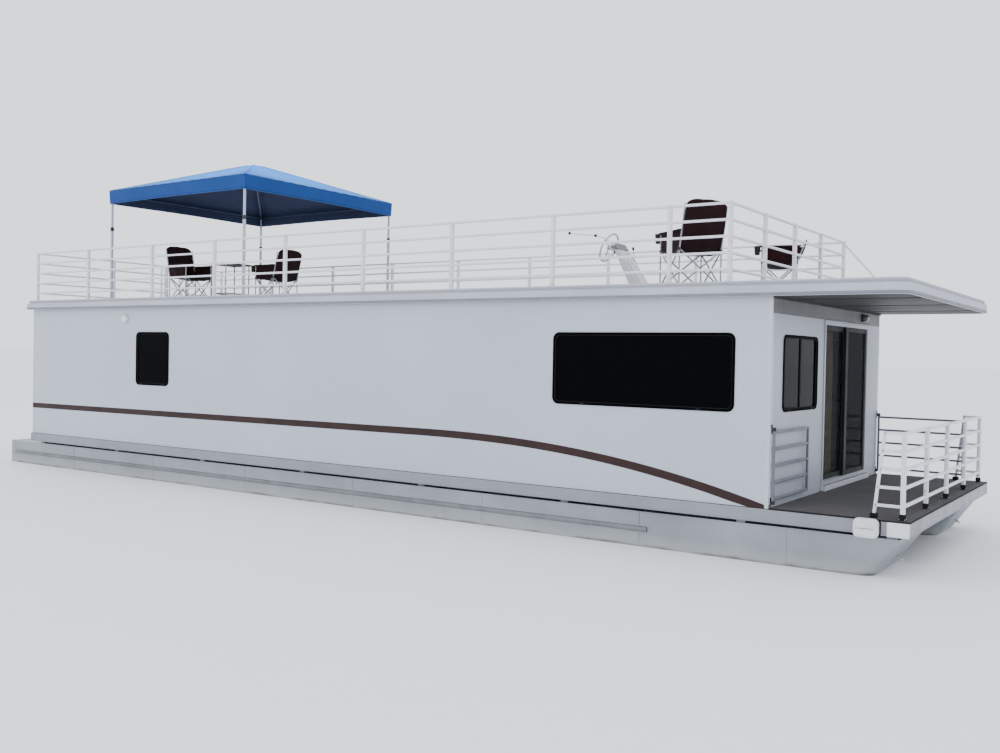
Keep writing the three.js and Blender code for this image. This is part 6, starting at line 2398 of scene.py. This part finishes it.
        width, height = self.front - self.rear + 0.06, top - low + 0.03
        cloth = Shape().cloth(place, columns, width, [j / rows * height for j in range(rows + 1)])
        side = cloth.piece(f"{name}_side_cloth_{number}", Coat.CHAIR_CLOTH, slot="chair_fabric", sharp=70)
        edge = [place(i, rows) for i in range(columns + 1)]
        hem = pipes(f"{name}_side_hem_{number}", [edge], Coat.CHAIR_BINDING, 0.005, 0.004)


@dataclass
class DeckTable:
    """The small folding table between the chairs under the canopy."""

    x: float = -3.53
    y: float = -0.4
    half_x: float = 0.23
    half_y: float = 0.3
    top: float = 4.065
    deck: float = 3.375
    slat_count: int = 8

    def build(self) -> None:
        """Makes the slatted top, its rim, the legs and their feet."""
        x, y, half_x, half_y, deck = self.x, self.y, self.half_x, self.half_y, self.deck
        low = self.top - 0.026
        rings = []
        for inset, r in ((0, 0.03), (0.022, 0.02)):
            outline = rounded(half_x - inset, half_y - inset, r, 5)
            rings.append([Vector((x + u, y + v, low)) for u, v in outline])
        rim = Shape().frame_ring(*rings, Z * 0.0255)
        rim.piece("table_rim", Coat.TABLE, slot="table_top", node="deck_table", bevel=0.004)
        pitch = (2 * half_x - 0.048) / self.slat_count
        row = along_x((x - half_x + 0.024 + pitch / 2, x + half_x - 0.024 - pitch / 2), y, self.top - 0.011)
        slats("table_slats", row, Coat.TABLE, pitch, (pitch - 0.006, 2 * half_y - 0.044, 0.014), (0, 0, 1))
        dx, dy, z = half_x - 0.04, half_y - 0.04, deck + 0.16
        foot = [(0, 0), (0.017, 0), (0.018, 0.006), (0.014, 0.03), (0, 0.03)]
        paths, feet = [], Shape()
        for way in BOTH:
            for other in BOTH:
                spot = x + way * dx, y + other * dy
                paths.append([(*spot, deck + 0.012), (*spot, self.top - 0.02)])
                feet.turned(foot, (*spot, deck + 0.0005), Z, 16)
            paths.append(along_y(x + way * dx, (y - dy, y + dy), z))
            paths.append(along_x((x - dx, x + dx), y + way * dy, z))
        pipes("table_legs", paths, Coat.CHAIR_TUBE, 0.011)
        feet.piece("table_feet", Coat.BLACK_PLASTIC)


def main() -> None:
    """Builds the whole boat, piece by piece, in the studio."""
    logging.basicConfig(level=logging.INFO, format="%(name)s: %(message)s")
    assemblies = [
        Studio(), PhotoCamera(), *(Hull(side) for side in Side), Deck(), Cabin(), PatioDoor(), SternDoor(),
        Roof(), RoofRails(), BowRail(), Gate(Side.STARBOARD, math.pi / 2), Gate(Side.PORT, math.radians(-5)),
        *(BowFender(side) for side in Side), SternPlatform(), SternLadder(), Outboard(), Helm(), Canopy(),
        FoldingChair("chair_a", -4.17, -0.75, 0, 1),
        FoldingChair("chair_b", -2.77, 0, 180, 0.93),
        FoldingChair("chair_c", 5.6, -1.23, 145, 1.01),
        FoldingChair("chair_d", 5.97, 0.8, 200, 0.76),
        DeckTable(),
    ]
    for assembly in assemblies:
        LOG.info("building %s", type(assembly).__name__)
        assembly.build()


if __name__ == "__main__":
    main()
